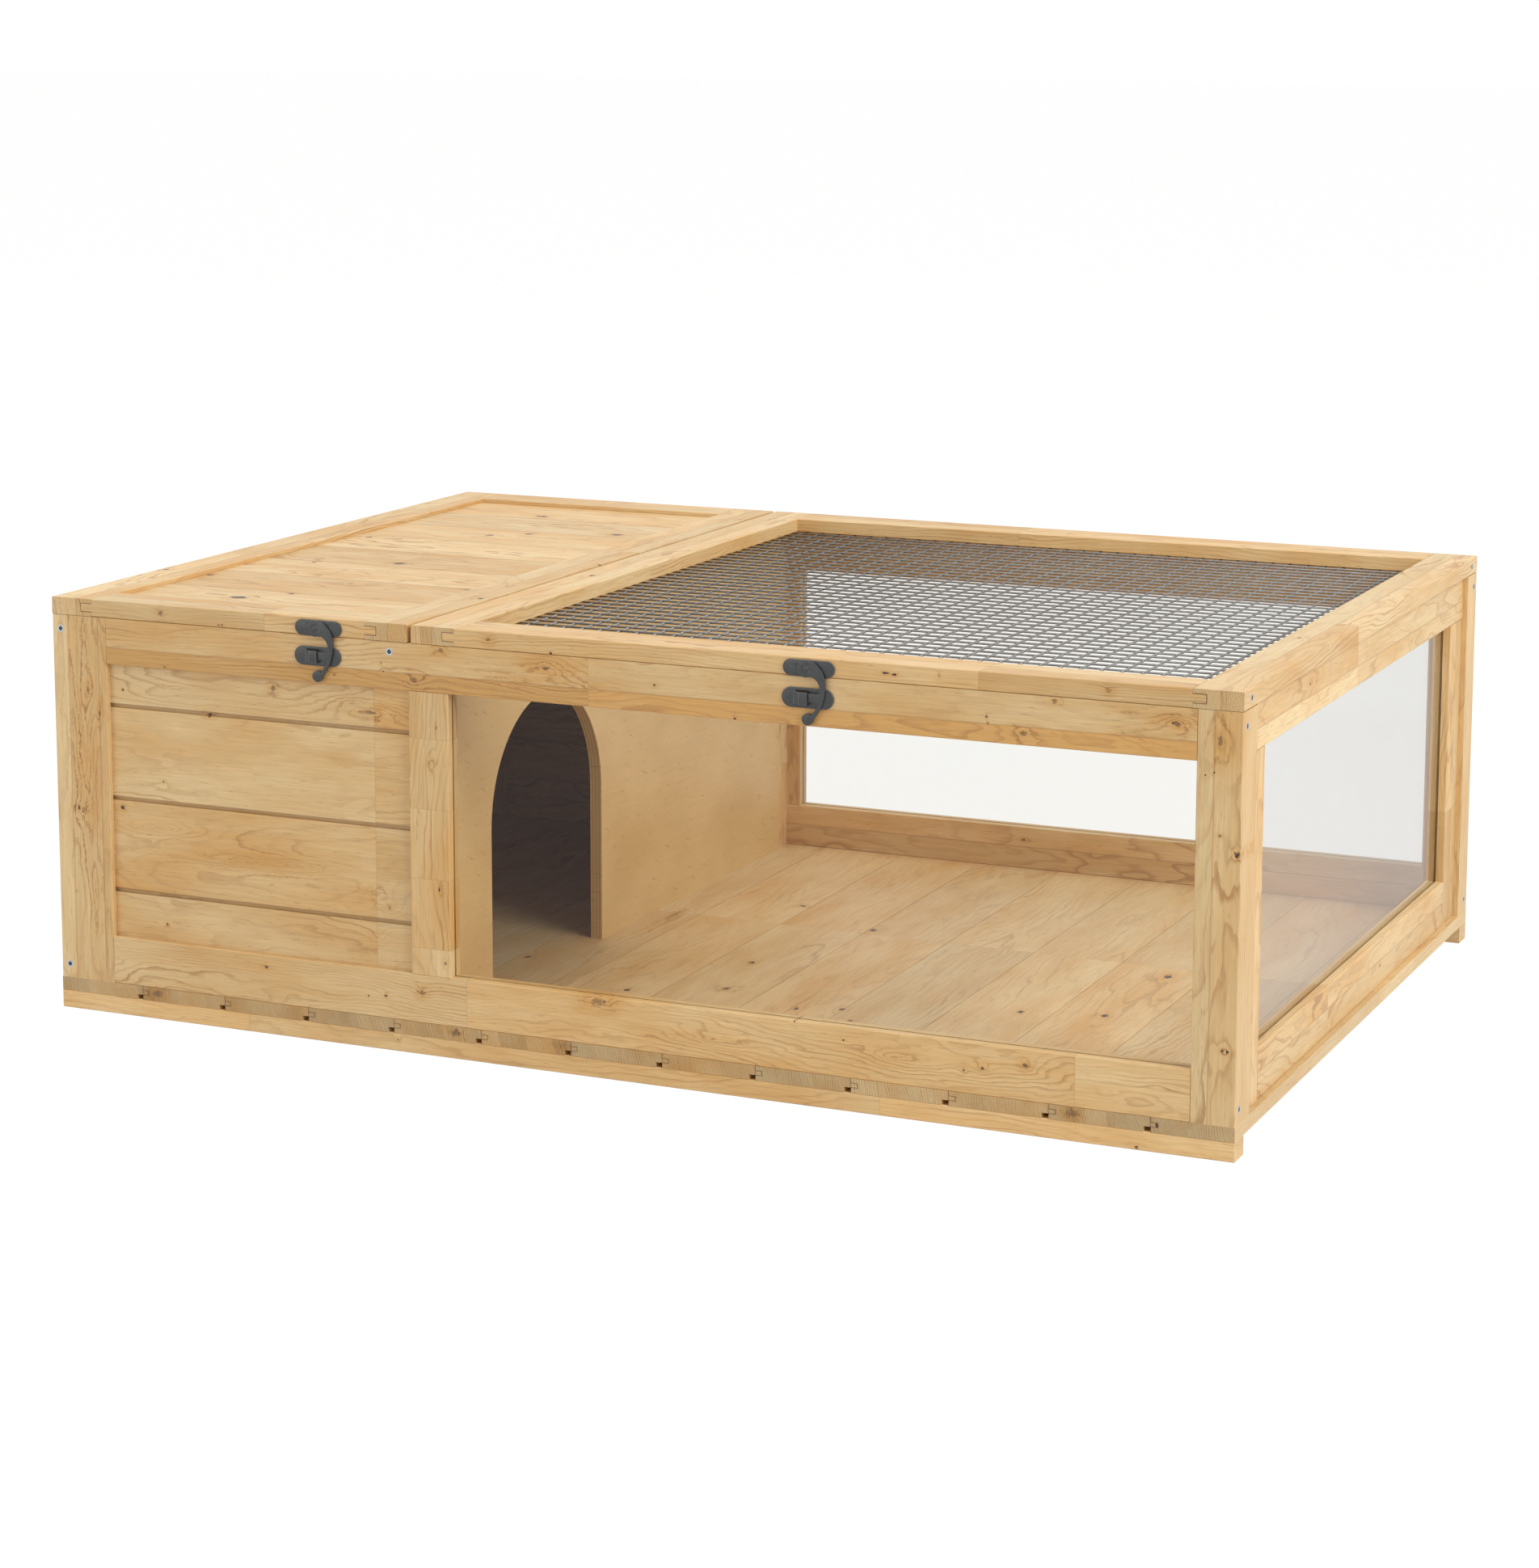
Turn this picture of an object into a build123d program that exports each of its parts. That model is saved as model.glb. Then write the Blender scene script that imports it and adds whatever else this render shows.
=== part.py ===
from build123d import *
import os
from math import ceil

# Tortoise house: a low timber run with a boarded house at its left end and two hinged lids.
# Every piece is worked out with X to the right from the left side, Y to the back from the
# front face and Z up from the ground, in millimetres. The last step moves the origin to the
# middle of the underside.

# Overall case
case_width = 950.0
case_depth = 664.0
wall_height = 287.0
frame_thickness = 15.0
edge_ease = 0.6
overrun = 1.0

# Joints in the timber
groove_depth = 10.0
groove_width = 6.4
joint_clearance = 0.2
tongue_end_clearance = 0.4

# Floor and its two runners
runner_width = 21.0
runner_height = 14.0
floor_thickness = 10.6
floor_pitch = 74.2
floor_seam = 0.3
floor_lip_height = 3.8
floor_tongue_height = 3.4
floor_tongue_reach = 5.0
floor_cut_back = 4.9

# Front and back walls
left_post_width = 48.5
mid_post_offset = 0.5
mid_post_width = 33.0
corner_post_width = 32.2
front_corner_post_depth = 33.0
back_corner_post_depth = 27.0
top_rail_height = 35.6
bottom_rail_height = 36.9

# Side walls
side_recess = 5.0
side_stile_width = 36.0
left_stile_width = 35.0

# Boards that fill the house walls and the roof lid
board_thickness = 6.2
board_tongue_thickness = 2.2
board_tongue_reach = 4.0
siding_pitch = 72.6
siding_top_cover = 30.8
siding_reveal = 3.5
roof_pitch = 74.0
roof_seam = 0.4

# Clear panes
pane_thickness = 2.0
pane_groove_depth = 8.0
pane_clearance = 0.1

# Partition with its doorway, and the rail across the case above it
partition_thickness = 10.0
partition_setback = 12.5
partition_batten_depth = 18.5
partition_batten_thickness = 15.0
doorway_middle = 182.0
doorway_radius = 93.3
doorway_spring_height = 128.4
cross_rail_inset = 32.6
cross_rail_width = 35.0
cross_rail_thickness = 15.0

# Lids
lid_seat_gap = 0.3
lid_thickness = 13.4
lid_member_width = 36.0
lid_gap = 3.3
roof_lid_width = 312.1
net_thickness = 1.8
net_strand = 2.0
net_columns = 12
net_rows = 12
net_rebate_width = 9.0
net_side_clearance = 0.5
net_lift = 0.5

# Hinges
hinge_length = 38.0
roof_hinge_inset = 62.0
mesh_hinge_inset = 105.0
hinge_leaf_thickness = 1.1
hinge_leaf_height = 11.6
hinge_knuckle_radius = 2.6
hinge_pin_radius = 1.4
hinge_barrel_sides = 16
hinge_pin_sides = 12
hinge_running_clearance = 0.05
hinge_wall_clearance = 0.3
hinge_knuckle_gap = 0.3
hinge_knuckle_count = 3
hinge_leaf_relief = 2.3

# Latches
roof_latch_inset = 76.6
latch_drop = 7.8
latch_plate_length = 39.5
latch_plate_height = 11.8
latch_plate_thickness = 1.2
latch_plate_shift = 1.75
keeper_drop = 29.0
keeper_length = 39.7
keeper_height = 14.4
keeper_shift = 1.0
keeper_tab_height = 9.0
keeper_tab_root = 8.6
keeper_tab_ramp = 5.0
keeper_tab_end = 1.7
keeper_tab_thickness = 1.0
keeper_slot_margin = 0.6
hook_thickness = 1.8
hook_clearance = 0.3
hook_head_radius = 6.2
hook_pad_radius = 4.3
hook_pad_across = 1.8
hook_reach = 36.0
hook_tooth_top = 17.5
hook_tooth_bottom = 23.5
hook_tooth_tip = -1.5
hook_tooth_root = 12.0
rivet_radius = 1.7
rivet_head_radius = 2.6
rivet_top_radius = 1.5
rivet_head_height = 1.1

# Outline of the hook's arm from the rivet's middle, as shares of the hook's reach: the outer
# edge from head to pad and the inner edge back up, each as two arcs through their middle points
hook_outer_shares = ((0.128, 0.155), (0.303, 0.017), (0.417, -0.389), (0.350, -0.694), (0.169, -1.0))
hook_inner_shares = ((0.139, -0.880), (0.261, -0.722), (0.300, -0.444), (0.267, -0.258), (0.128, -0.155))

# Countersunk screws
screw_head_radius = 2.9
screw_head_height = 1.8
screw_shank_radius = 1.4
screw_head_sides = 12
screw_shank_sides = 6
wall_screw_length = 22.0
corner_screw_length = 45.0
lid_screw_length = 50.0
screw_hole_clearance = 0.1
leaf_screw_head_radius = 2.2
leaf_screw_head_height = 1.2
leaf_screw_shank_radius = 1.1
leaf_screw_length = 8.0
wall_screw_inset = 7.2
wall_screw_end = 10.8
corner_screw_inset = 9.0

# Heights and lines that several pieces share
floor_bottom = runner_height
floor_top = floor_bottom + floor_thickness
wall_top = floor_top + wall_height
mid_post_left = roof_lid_width + mid_post_offset
mid_post_right = mid_post_left + mid_post_width
cross_rail_left = roof_lid_width - cross_rail_inset
top_rail_bottom = wall_top - top_rail_height
bottom_rail_top = floor_top + bottom_rail_height
lid_bottom = wall_top + lid_seat_gap
lid_top = lid_bottom + lid_thickness
back_wall_front = case_depth - frame_thickness
corner_post_left = case_width - corner_post_width
side_wall_outer = case_width - side_recess
side_wall_inner = side_wall_outer - frame_thickness
tongue_reach = groove_depth - tongue_end_clearance
tongue_width = groove_width - 2 * joint_clearance
pane_groove_width = pane_thickness + 2 * pane_clearance
pane_reach = pane_groove_depth - tongue_end_clearance
partition_right = mid_post_right - partition_setback
partition_left = partition_right - partition_thickness
mesh_lid_left = roof_lid_width + lid_gap
roof_latch_x = roof_lid_width - roof_latch_inset
mesh_latch_x = (mesh_lid_left + case_width) / 2
hinge_axis_y = case_depth + hinge_knuckle_radius + hinge_wall_clearance
hinge_axis_z = wall_top + lid_seat_gap / 2
latch_z = lid_top - latch_drop
keeper_z = lid_top - keeper_drop
hook_back = -latch_plate_thickness - hook_clearance
hook_face = hook_back - hook_thickness
keeper_tab_back = hook_face - hook_clearance
keeper_tab_face = keeper_tab_back - keeper_tab_thickness
rivet_face = hook_face - rivet_head_height
front_reach = -min(keeper_tab_face, rivet_face)
back_reach = hinge_axis_y + hinge_knuckle_radius - case_depth
middle_y = (case_depth + back_reach - front_reach) / 2
to_origin = Pos(-case_width / 2, -middle_y, 0)


def block(x, y, z):
    """Return a plain block between the (low, high) pair of faces on each axis."""
    size = (x[1] - x[0], y[1] - y[0], z[1] - z[0])
    middle = ((x[0] + x[1]) / 2, (y[0] + y[1]) / 2, (z[0] + z[1]) / 2)
    return Pos(*middle) * Box(*size)


def timber(x, y, z, along):
    """Return a planed length of wood whose four long edges are eased."""
    wood = block(x, y, z)
    return chamfer(wood.edges().filter_by(along), edge_ease)


def centred(middle, width):
    """Return the low and high faces of a width about its middle."""
    return (middle - width / 2, middle + width / 2)


def stadium(length, height, thickness):
    """Return a round-ended plate standing in the XZ plane, its back on Y = 0 and its face to -Y."""
    outline = Rectangle(length - height, height)
    for side in (-1, 1):
        outline += Pos(side * (length - height) / 2, 0) * Circle(height / 2)
    return extrude(Plane.XZ * outline, thickness)


def screw(length, head_radius, head_height, shank_radius):
    """Return a countersunk screw along -Z whose head lies flush at Z = 0."""
    top = RegularPolygon(head_radius, screw_head_sides)
    neck = Pos(0, 0, -head_height) * RegularPolygon(shank_radius, screw_head_sides)
    shank = Pos(0, 0, -length) * extrude(RegularPolygon(shank_radius, screw_shank_sides), length)
    return loft([neck, top], ruled=True) + shank


def wood_screw(length):
    """Return one of the screws that hold the timber together."""
    return screw(length, screw_head_radius, screw_head_height, screw_shank_radius)


def wood_screw_hole(length):
    """Return the space that a timber screw of this length needs, with its clearance."""
    return screw(
        length + screw_hole_clearance,
        screw_head_radius + screw_hole_clearance,
        screw_head_height + screw_hole_clearance,
        screw_shank_radius + screw_hole_clearance,
    )


def leaf_screw():
    """Return one of the small screws of a hinge leaf."""
    return screw(leaf_screw_length, leaf_screw_head_radius, leaf_screw_head_height, leaf_screw_shank_radius)


def leaf_screw_hole():
    """Return the space that a hinge screw needs, with its clearance."""
    return screw(
        leaf_screw_length + screw_hole_clearance,
        leaf_screw_head_radius + screw_hole_clearance,
        leaf_screw_head_height + screw_hole_clearance,
        leaf_screw_shank_radius + screw_hole_clearance,
    )


# Directions that a screw's head can face, as turns of a head that faces +Z
head_front = Rot(X=90)
head_back = Rot(X=-90)
head_right = Rot(Y=90)
head_left = Rot(Y=-90)


def wall_screw_places():
    """Return the screws of the case: each one's place, turned the way its head faces, and length."""
    spots = []
    low = floor_top + wall_screw_end
    high = wall_top - wall_screw_end
    cross_middle = cross_rail_left + cross_rail_width / 2
    cross_height = wall_top - cross_rail_thickness / 2
    for face, turn in ((0, head_front), (case_depth, head_back)):
        for height in (low, high):
            spots.append((Pos(wall_screw_inset, face, height) * turn, wall_screw_length))
        spots.append((Pos(cross_middle, face, cross_height) * turn, wall_screw_length))
    for depth in (corner_screw_inset, case_depth - corner_screw_inset):
        for height in (low, high):
            spots.append((Pos(case_width, depth, height) * head_right, corner_screw_length))
    return spots


def lid_screw_places(left, right):
    """Return the screws of a lid in the same way, through its stiles into the ends of its rails."""
    spots = []
    height = (lid_bottom + lid_top) / 2
    for depth in (lid_member_width / 2, case_depth - lid_member_width / 2):
        spots.append((Pos(left, depth, height) * head_left, lid_screw_length))
        spots.append((Pos(right, depth, height) * head_right, lid_screw_length))
    return spots


wall_screw_spots = wall_screw_places()
roof_lid_screw_spots = lid_screw_places(0, roof_lid_width)
mesh_lid_screw_spots = lid_screw_places(mesh_lid_left, case_width)


def bored(wood, spots):
    """Return a piece of wood with the holes of the screws at these places."""
    for place, length in spots:
        wood -= place * wood_screw_hole(length)
    return wood


def leaf_screw_places(hinge_x, side):
    """Return the places of a leaf's two screws, above the axis for side 1 and below it for -1."""
    height = hinge_axis_z + side * (hinge_leaf_relief + hinge_leaf_height) / 2
    leaf_face = case_depth + hinge_leaf_thickness
    quarter = hinge_length / 4
    return [Pos(hinge_x + step, leaf_face, height) * head_back for step in (-quarter, quarter)]


# Middles of the two hinges of each lid
roof_hinges = (roof_hinge_inset, roof_lid_width - roof_hinge_inset)
mesh_hinges = (mesh_lid_left + mesh_hinge_inset, case_width - mesh_hinge_inset)


def leaf_bored(wood, side):
    """Return a back rail with the holes of the hinge screws on this side of the axis."""
    for hinge_x in roof_hinges + mesh_hinges:
        for place in leaf_screw_places(hinge_x, side):
            wood -= place * leaf_screw_hole()
    return wood


def boards(length, width, first, pitch, reveal):
    """Return tongued and grooved boards that lie along X with their faces up at board_thickness.

    They fill the width along Y, and run on past both edges of it by tongue_reach, as their ends
    do along X. The first seam lies at first and the next ones at each pitch.
    """
    seams = []
    while first + len(seams) * pitch < width:
        seams.append(first + len(seams) * pitch)
    lows = [-tongue_reach] + [seam + reveal for seam in seams]
    highs = seams + [width + tongue_reach]
    tongue_low = (board_thickness - board_tongue_thickness) / 2
    tongue_high = tongue_low + board_tongue_thickness
    run = (-tongue_reach, length + tongue_reach)
    pieces = []
    for index, (low, high) in enumerate(zip(lows, highs)):
        wood = block(run, (low, high), (0, board_thickness))
        if index < len(seams):
            groove_low = high - board_tongue_reach - joint_clearance
            groove = (tongue_low - joint_clearance, tongue_high + joint_clearance)
            wood -= block((run[0] - overrun, run[1] + overrun), (groove_low, high + overrun), groove)
        if index > 0:
            tongue = (low - reveal - board_tongue_reach, low + overrun)
            wood += block(run, tongue, (tongue_low, tongue_high))
        pieces.append(wood)
    return pieces


def siding(length, place):
    """Return the boards of a house wall, put at the place of the lower left corner of its bay."""
    height = top_rail_bottom - bottom_rail_top
    # The topmost board is the narrow one, so the seams are counted down from the top rail
    below_top = height - siding_top_cover - siding_reveal
    first = below_top % siding_pitch
    return [place * piece for piece in boards(length, height, first, siding_pitch, siding_reveal)]


def runner(low):
    """Return one of the two runners that the floor stands on."""
    return timber((0, case_width), (low, low + runner_width), (0, runner_height), Axis.X)


def floor_boards():
    """Return the floor's boards, which run from front to back with their ends showing."""
    count = ceil(case_width / floor_pitch)
    lip_top = floor_bottom + floor_lip_height
    tongue_top = lip_top + floor_tongue_height
    depth = (0, case_depth)
    through = (-overrun, case_depth + overrun)
    pieces = []
    for index in range(count):
        left = index * floor_pitch
        last = index == count - 1
        right = case_width if last else left + floor_pitch - floor_seam
        wood = block((left, right), depth, (floor_bottom, floor_top))
        if not last:
            reach = (right - overrun, left + floor_pitch + floor_tongue_reach)
            wood += block(reach, depth, (lip_top + joint_clearance, tongue_top - joint_clearance))
            cut = (right - floor_cut_back, right + overrun)
            wood -= block(cut, through, (floor_bottom - overrun, lip_top))
        if index > 0:
            groove = (left - overrun, left + floor_tongue_reach + tongue_end_clearance)
            wood -= block(groove, through, (lip_top, tongue_top))
        pieces.append(wood)
    return pieces


def wall_groove(front):
    """Return the Y faces of the board groove in a wall whose outer or inner front face is given."""
    return centred(front + frame_thickness / 2, groove_width)


def wall_tongue(front):
    """Return the Y faces of the tongues that go into that groove."""
    return centred(front + frame_thickness / 2, tongue_width)


def wall_pane_groove(front):
    """Return the Y faces of the pane's groove in that wall."""
    return centred(front + frame_thickness / 2, pane_groove_width)


def left_post(front):
    """Return the wide post at the left end of a wall, grooved for the boards and rails."""
    wood = timber((0, left_post_width), (front, front + frame_thickness), (floor_top, wall_top), Axis.Z)
    groove_x = (left_post_width - groove_depth, left_post_width + overrun)
    wood -= block(groove_x, wall_groove(front), (floor_top - overrun, wall_top + overrun))
    return bored(wood, wall_screw_spots)


def mid_post(front):
    """Return the post between the boards and the pane, tongued into both rails."""
    across = (mid_post_left, mid_post_right)
    wood = timber(across, (front, front + frame_thickness), (bottom_rail_top, top_rail_bottom), Axis.Z)
    tongue_z = (bottom_rail_top - tongue_reach, top_rail_bottom + tongue_reach)
    tongue_x = (mid_post_left + groove_depth, mid_post_right - pane_groove_depth)
    wood += block(tongue_x, wall_tongue(front), tongue_z)
    through = (bottom_rail_top - tongue_reach - overrun, top_rail_bottom + tongue_reach + overrun)
    wood -= block((mid_post_left - overrun, mid_post_left + groove_depth), wall_groove(front), through)
    pane_x = (mid_post_right - pane_groove_depth, mid_post_right + overrun)
    return wood - block(pane_x, wall_pane_groove(front), through)


def corner_post(low, high, front):
    """Return the square post of a right corner, with mortises for the rails and a pane groove."""
    wood = timber((corner_post_left, case_width), (low, high), (floor_top, wall_top), Axis.Z)
    mortise_x = (corner_post_left - overrun, corner_post_left + groove_depth)
    for span in ((floor_top - overrun, bottom_rail_top), (top_rail_bottom, wall_top + overrun)):
        wood -= block(mortise_x, wall_groove(front), span)
    pane_x = (corner_post_left - overrun, corner_post_left + pane_groove_depth)
    wood -= block(pane_x, wall_pane_groove(front), (bottom_rail_top - overrun, top_rail_bottom + overrun))
    return bored(wood, wall_screw_spots)


def wall_rail(front, low, high, groove_face, inward):
    """Return a rail of the front or back wall, grooved on the face that looks into the frame.

    groove_face is the height of that face and inward is 1 where the frame lies above it.
    """
    across = (left_post_width, corner_post_left)
    wood = timber(across, (front, front + frame_thickness), (low, high), Axis.X)
    tongue_x = (left_post_width - tongue_reach, corner_post_left + tongue_reach)
    wood += block(tongue_x, wall_tongue(front), (low + groove_depth, high - groove_depth))
    pane_left = mid_post_right - pane_groove_depth
    board_z = sorted((groove_face - inward * groove_depth, groove_face + inward * overrun))
    wood -= block((left_post_width - overrun, pane_left), wall_groove(front), board_z)
    pane_z = sorted((groove_face - inward * pane_groove_depth, groove_face + inward * overrun))
    pane_x = (pane_left, corner_post_left + overrun)
    wood -= block(pane_x, wall_pane_groove(front), pane_z)
    return bored(wood, wall_screw_spots)


def wall_top_rail(front):
    """Return the top rail of the front or back wall."""
    return wall_rail(front, top_rail_bottom, wall_top, top_rail_bottom, -1)


def wall_bottom_rail(front):
    """Return the bottom rail of the front or back wall."""
    return wall_rail(front, floor_top, bottom_rail_top, bottom_rail_top, 1)


def wall_pane(front):
    """Return the clear pane of the front or back wall."""
    across = (mid_post_right - pane_reach, corner_post_left + pane_reach)
    thick = centred(front + frame_thickness / 2, pane_thickness)
    return block(across, thick, (bottom_rail_top - pane_reach, top_rail_bottom + pane_reach))


side_low = front_corner_post_depth
side_high = case_depth - back_corner_post_depth
side_middle = (side_wall_inner + side_wall_outer) / 2
side_pane_groove = centred(side_middle, pane_groove_width)
side_tongue = centred(side_middle, tongue_width)
side_mortise = centred(side_middle, groove_width)
side_open_low = side_low + side_stile_width
side_open_high = side_high - side_stile_width


def right_stile(low, inner, outward):
    """Return a stile of the side window. inner is its face towards the opening."""
    across = (side_wall_inner, side_wall_outer)
    wood = timber(across, (low, low + side_stile_width), (floor_top, top_rail_bottom), Axis.Z)
    groove_y = sorted((inner + outward * groove_depth, inner - outward * overrun))
    wood -= block(side_mortise, groove_y, (floor_top - overrun, bottom_rail_top))
    pane_y = sorted((inner + outward * pane_groove_depth, inner - outward * overrun))
    return wood - block(side_pane_groove, pane_y, (bottom_rail_top - overrun, top_rail_bottom + overrun))


def right_top_rail():
    """Return the top rail of the side window, which lies over both stiles."""
    across = (side_wall_inner, side_wall_outer)
    wood = timber(across, (side_low, side_high), (top_rail_bottom, wall_top), Axis.Y)
    pane_z = (top_rail_bottom - overrun, top_rail_bottom + pane_groove_depth)
    pane_y = (side_open_low - pane_groove_depth, side_open_high + pane_groove_depth)
    return wood - block(side_pane_groove, pane_y, pane_z)


def right_bottom_rail():
    """Return the bottom rail of the side window, tongued between the stiles."""
    across = (side_wall_inner, side_wall_outer)
    wood = timber(across, (side_open_low, side_open_high), (floor_top, bottom_rail_top), Axis.Y)
    tongue_y = (side_open_low - tongue_reach, side_open_high + tongue_reach)
    wood += block(side_tongue, tongue_y, (floor_top, bottom_rail_top - groove_depth))
    pane_z = (bottom_rail_top - pane_groove_depth, bottom_rail_top + overrun)
    return wood - block(side_pane_groove, (side_open_low - overrun, side_open_high + overrun), pane_z)


def right_pane():
    """Return the clear pane of the side window."""
    depth = (side_open_low - pane_reach, side_open_high + pane_reach)
    height = (bottom_rail_top - pane_reach, top_rail_bottom + pane_reach)
    return block(centred(side_middle, pane_thickness), depth, height)


left_open_low = frame_thickness + left_stile_width
left_open_high = back_wall_front - left_stile_width
left_groove = centred(frame_thickness / 2, groove_width)
left_tongue = centred(frame_thickness / 2, tongue_width)


def left_stile(low, inner, outward):
    """Return a stile of the left wall. inner is its face towards the boards."""
    wood = timber((0, frame_thickness), (low, low + left_stile_width), (floor_top, wall_top), Axis.Z)
    groove_y = sorted((inner + outward * groove_depth, inner - outward * overrun))
    wood -= block(left_groove, groove_y, (floor_top - overrun, wall_top + overrun))
    return bored(wood, wall_screw_spots)


def left_rail(low, high, groove_face, inward):
    """Return a rail of the left wall, tongued between its stiles and grooved for the boards."""
    wood = timber((0, frame_thickness), (left_open_low, left_open_high), (low, high), Axis.Y)
    tongue_y = (left_open_low - tongue_reach, left_open_high + tongue_reach)
    wood += block(left_tongue, tongue_y, (low + groove_depth, high - groove_depth))
    groove_z = sorted((groove_face - inward * groove_depth, groove_face + inward * overrun))
    return wood - block(left_groove, (left_open_low - overrun, left_open_high + overrun), groove_z)


def partition():
    """Return the panel between house and run, with its round-headed doorway down to the floor."""
    across = (partition_left, partition_right)
    depth = (frame_thickness, back_wall_front - partition_batten_depth)
    panel = block(across, depth, (floor_top, wall_top))
    spring = floor_top + doorway_spring_height
    jambs = centred(doorway_middle, 2 * doorway_radius)
    through = (partition_left - overrun, partition_right + overrun)
    panel -= block(through, jambs, (floor_top - overrun, spring))
    head = Rot(Y=90) * Cylinder(doorway_radius, partition_thickness + 2 * overrun)
    middle_x = (partition_left + partition_right) / 2
    return panel - Pos(middle_x, doorway_middle, spring) * head


def partition_batten():
    """Return the upright between the partition's rear edge and the back wall."""
    across = (partition_right - partition_batten_thickness, partition_right)
    depth = (back_wall_front - partition_batten_depth, back_wall_front)
    return timber(across, depth, (floor_top, wall_top), Axis.Z)


def cross_rail():
    """Return the flat rail under the edge of the roof lid, screwed on through both top rails."""
    across = (cross_rail_left, cross_rail_left + cross_rail_width)
    height = (wall_top - cross_rail_thickness, wall_top)
    wood = timber(across, (frame_thickness, back_wall_front), height, Axis.Y)
    return bored(wood, wall_screw_spots)


lid_height = (lid_bottom, lid_top)
lid_groove = centred((lid_bottom + lid_top) / 2, groove_width)
lid_tongue = centred((lid_bottom + lid_top) / 2, tongue_width)
lid_front_inner = lid_member_width
lid_back_inner = case_depth - lid_member_width


def lid_stile(low, inner, outward, grooves, spots):
    """Return a stile of a lid from front to back. grooves are the stretches of it that are grooved."""
    wood = timber((low, low + lid_member_width), (0, case_depth), lid_height, Axis.Y)
    groove_x = sorted((inner + outward * groove_depth, inner - outward * overrun))
    for stretch in grooves:
        wood -= block(groove_x, stretch, lid_groove)
    return bored(wood, spots)


def lid_rail(left, right, low, spots):
    """Return a rail of a lid, tongued between the inner faces of the stiles."""
    depth = (low, low + lid_member_width)
    wood = timber((left, right), depth, lid_height, Axis.X)
    wood += block((left - tongue_reach, right + tongue_reach), depth, lid_tongue)
    return bored(wood, spots)


roof_inner_left = lid_member_width
roof_inner_right = roof_lid_width - lid_member_width
roof_grooves = [(-overrun, case_depth + overrun)]


def roof_front_rail():
    """Return the roof lid's front rail, grooved for the first board."""
    wood = lid_rail(roof_inner_left, roof_inner_right, 0, roof_lid_screw_spots)
    across = (roof_inner_left - tongue_reach - overrun, roof_inner_right + tongue_reach + overrun)
    return wood - block(across, (lid_front_inner - groove_depth, lid_front_inner + overrun), lid_groove)


def roof_back_rail():
    """Return the roof lid's back rail, which also carries its hinge leaves."""
    wood = lid_rail(roof_inner_left, roof_inner_right, lid_back_inner, roof_lid_screw_spots)
    across = (roof_inner_left - tongue_reach - overrun, roof_inner_right + tongue_reach + overrun)
    wood -= block(across, (lid_back_inner - overrun, lid_back_inner + groove_depth), lid_groove)
    return leaf_bored(wood, 1)


def roof_boards():
    """Return the boards of the roof lid, which lie in the grooves below the frame's top."""
    length = roof_inner_right - roof_inner_left
    width = lid_back_inner - lid_front_inner
    middle = (lid_bottom + lid_top) / 2
    place = Pos(roof_inner_left, lid_front_inner, middle - board_thickness / 2)
    return [place * piece for piece in boards(length, width, roof_pitch, roof_pitch, roof_seam)]


mesh_inner_left = mesh_lid_left + lid_member_width
mesh_inner_right = case_width - lid_member_width
mesh_mortises = [(-overrun, lid_front_inner), (lid_back_inner, case_depth + overrun)]
net_rebate_top = lid_bottom + net_lift + net_thickness


def rebated(wood):
    """Return a member of the mesh lid with the shallow step below that the net lies in."""
    across = (mesh_inner_left - net_rebate_width, mesh_inner_right + net_rebate_width)
    depth = (lid_front_inner - net_rebate_width, lid_back_inner + net_rebate_width)
    return wood - block(across, depth, (lid_bottom - overrun, net_rebate_top))


def net():
    """Return the wire net as one sheet with square openings, up against its rebate."""
    low_x = mesh_inner_left - net_rebate_width + net_side_clearance
    high_x = mesh_inner_right + net_rebate_width - net_side_clearance
    low_y = lid_front_inner - net_rebate_width + net_side_clearance
    high_y = lid_back_inner + net_rebate_width - net_side_clearance
    pitch_x = (high_x - low_x - net_strand) / net_columns
    pitch_y = (high_y - low_y - net_strand) / net_rows
    outline = Rectangle(high_x - low_x, high_y - low_y)
    gap = Rectangle(pitch_x - net_strand, pitch_y - net_strand)
    outline -= [place * gap for place in GridLocations(pitch_x, pitch_y, net_columns, net_rows)]
    sheet = extrude(outline, net_thickness)
    return Pos((low_x + high_x) / 2, (low_y + high_y) / 2, lid_bottom + net_lift) * sheet


def knuckle_spans():
    """Return the stretches of a hinge's knuckles along its length, from its middle."""
    step = hinge_length / hinge_knuckle_count
    half = hinge_length / 2
    return [(index * step - half, (index + 1) * step - half) for index in range(hinge_knuckle_count)]


def barrel(across, radius, sides, inner=False):
    """Return a rod along the hinge's axis. inner gives it the radius at its flats."""
    low, high = across
    rod = extrude(Plane.YZ * RegularPolygon(radius, sides, major_radius=not inner), high - low)
    return Pos(low, hinge_axis_y, hinge_axis_z) * rod


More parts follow.
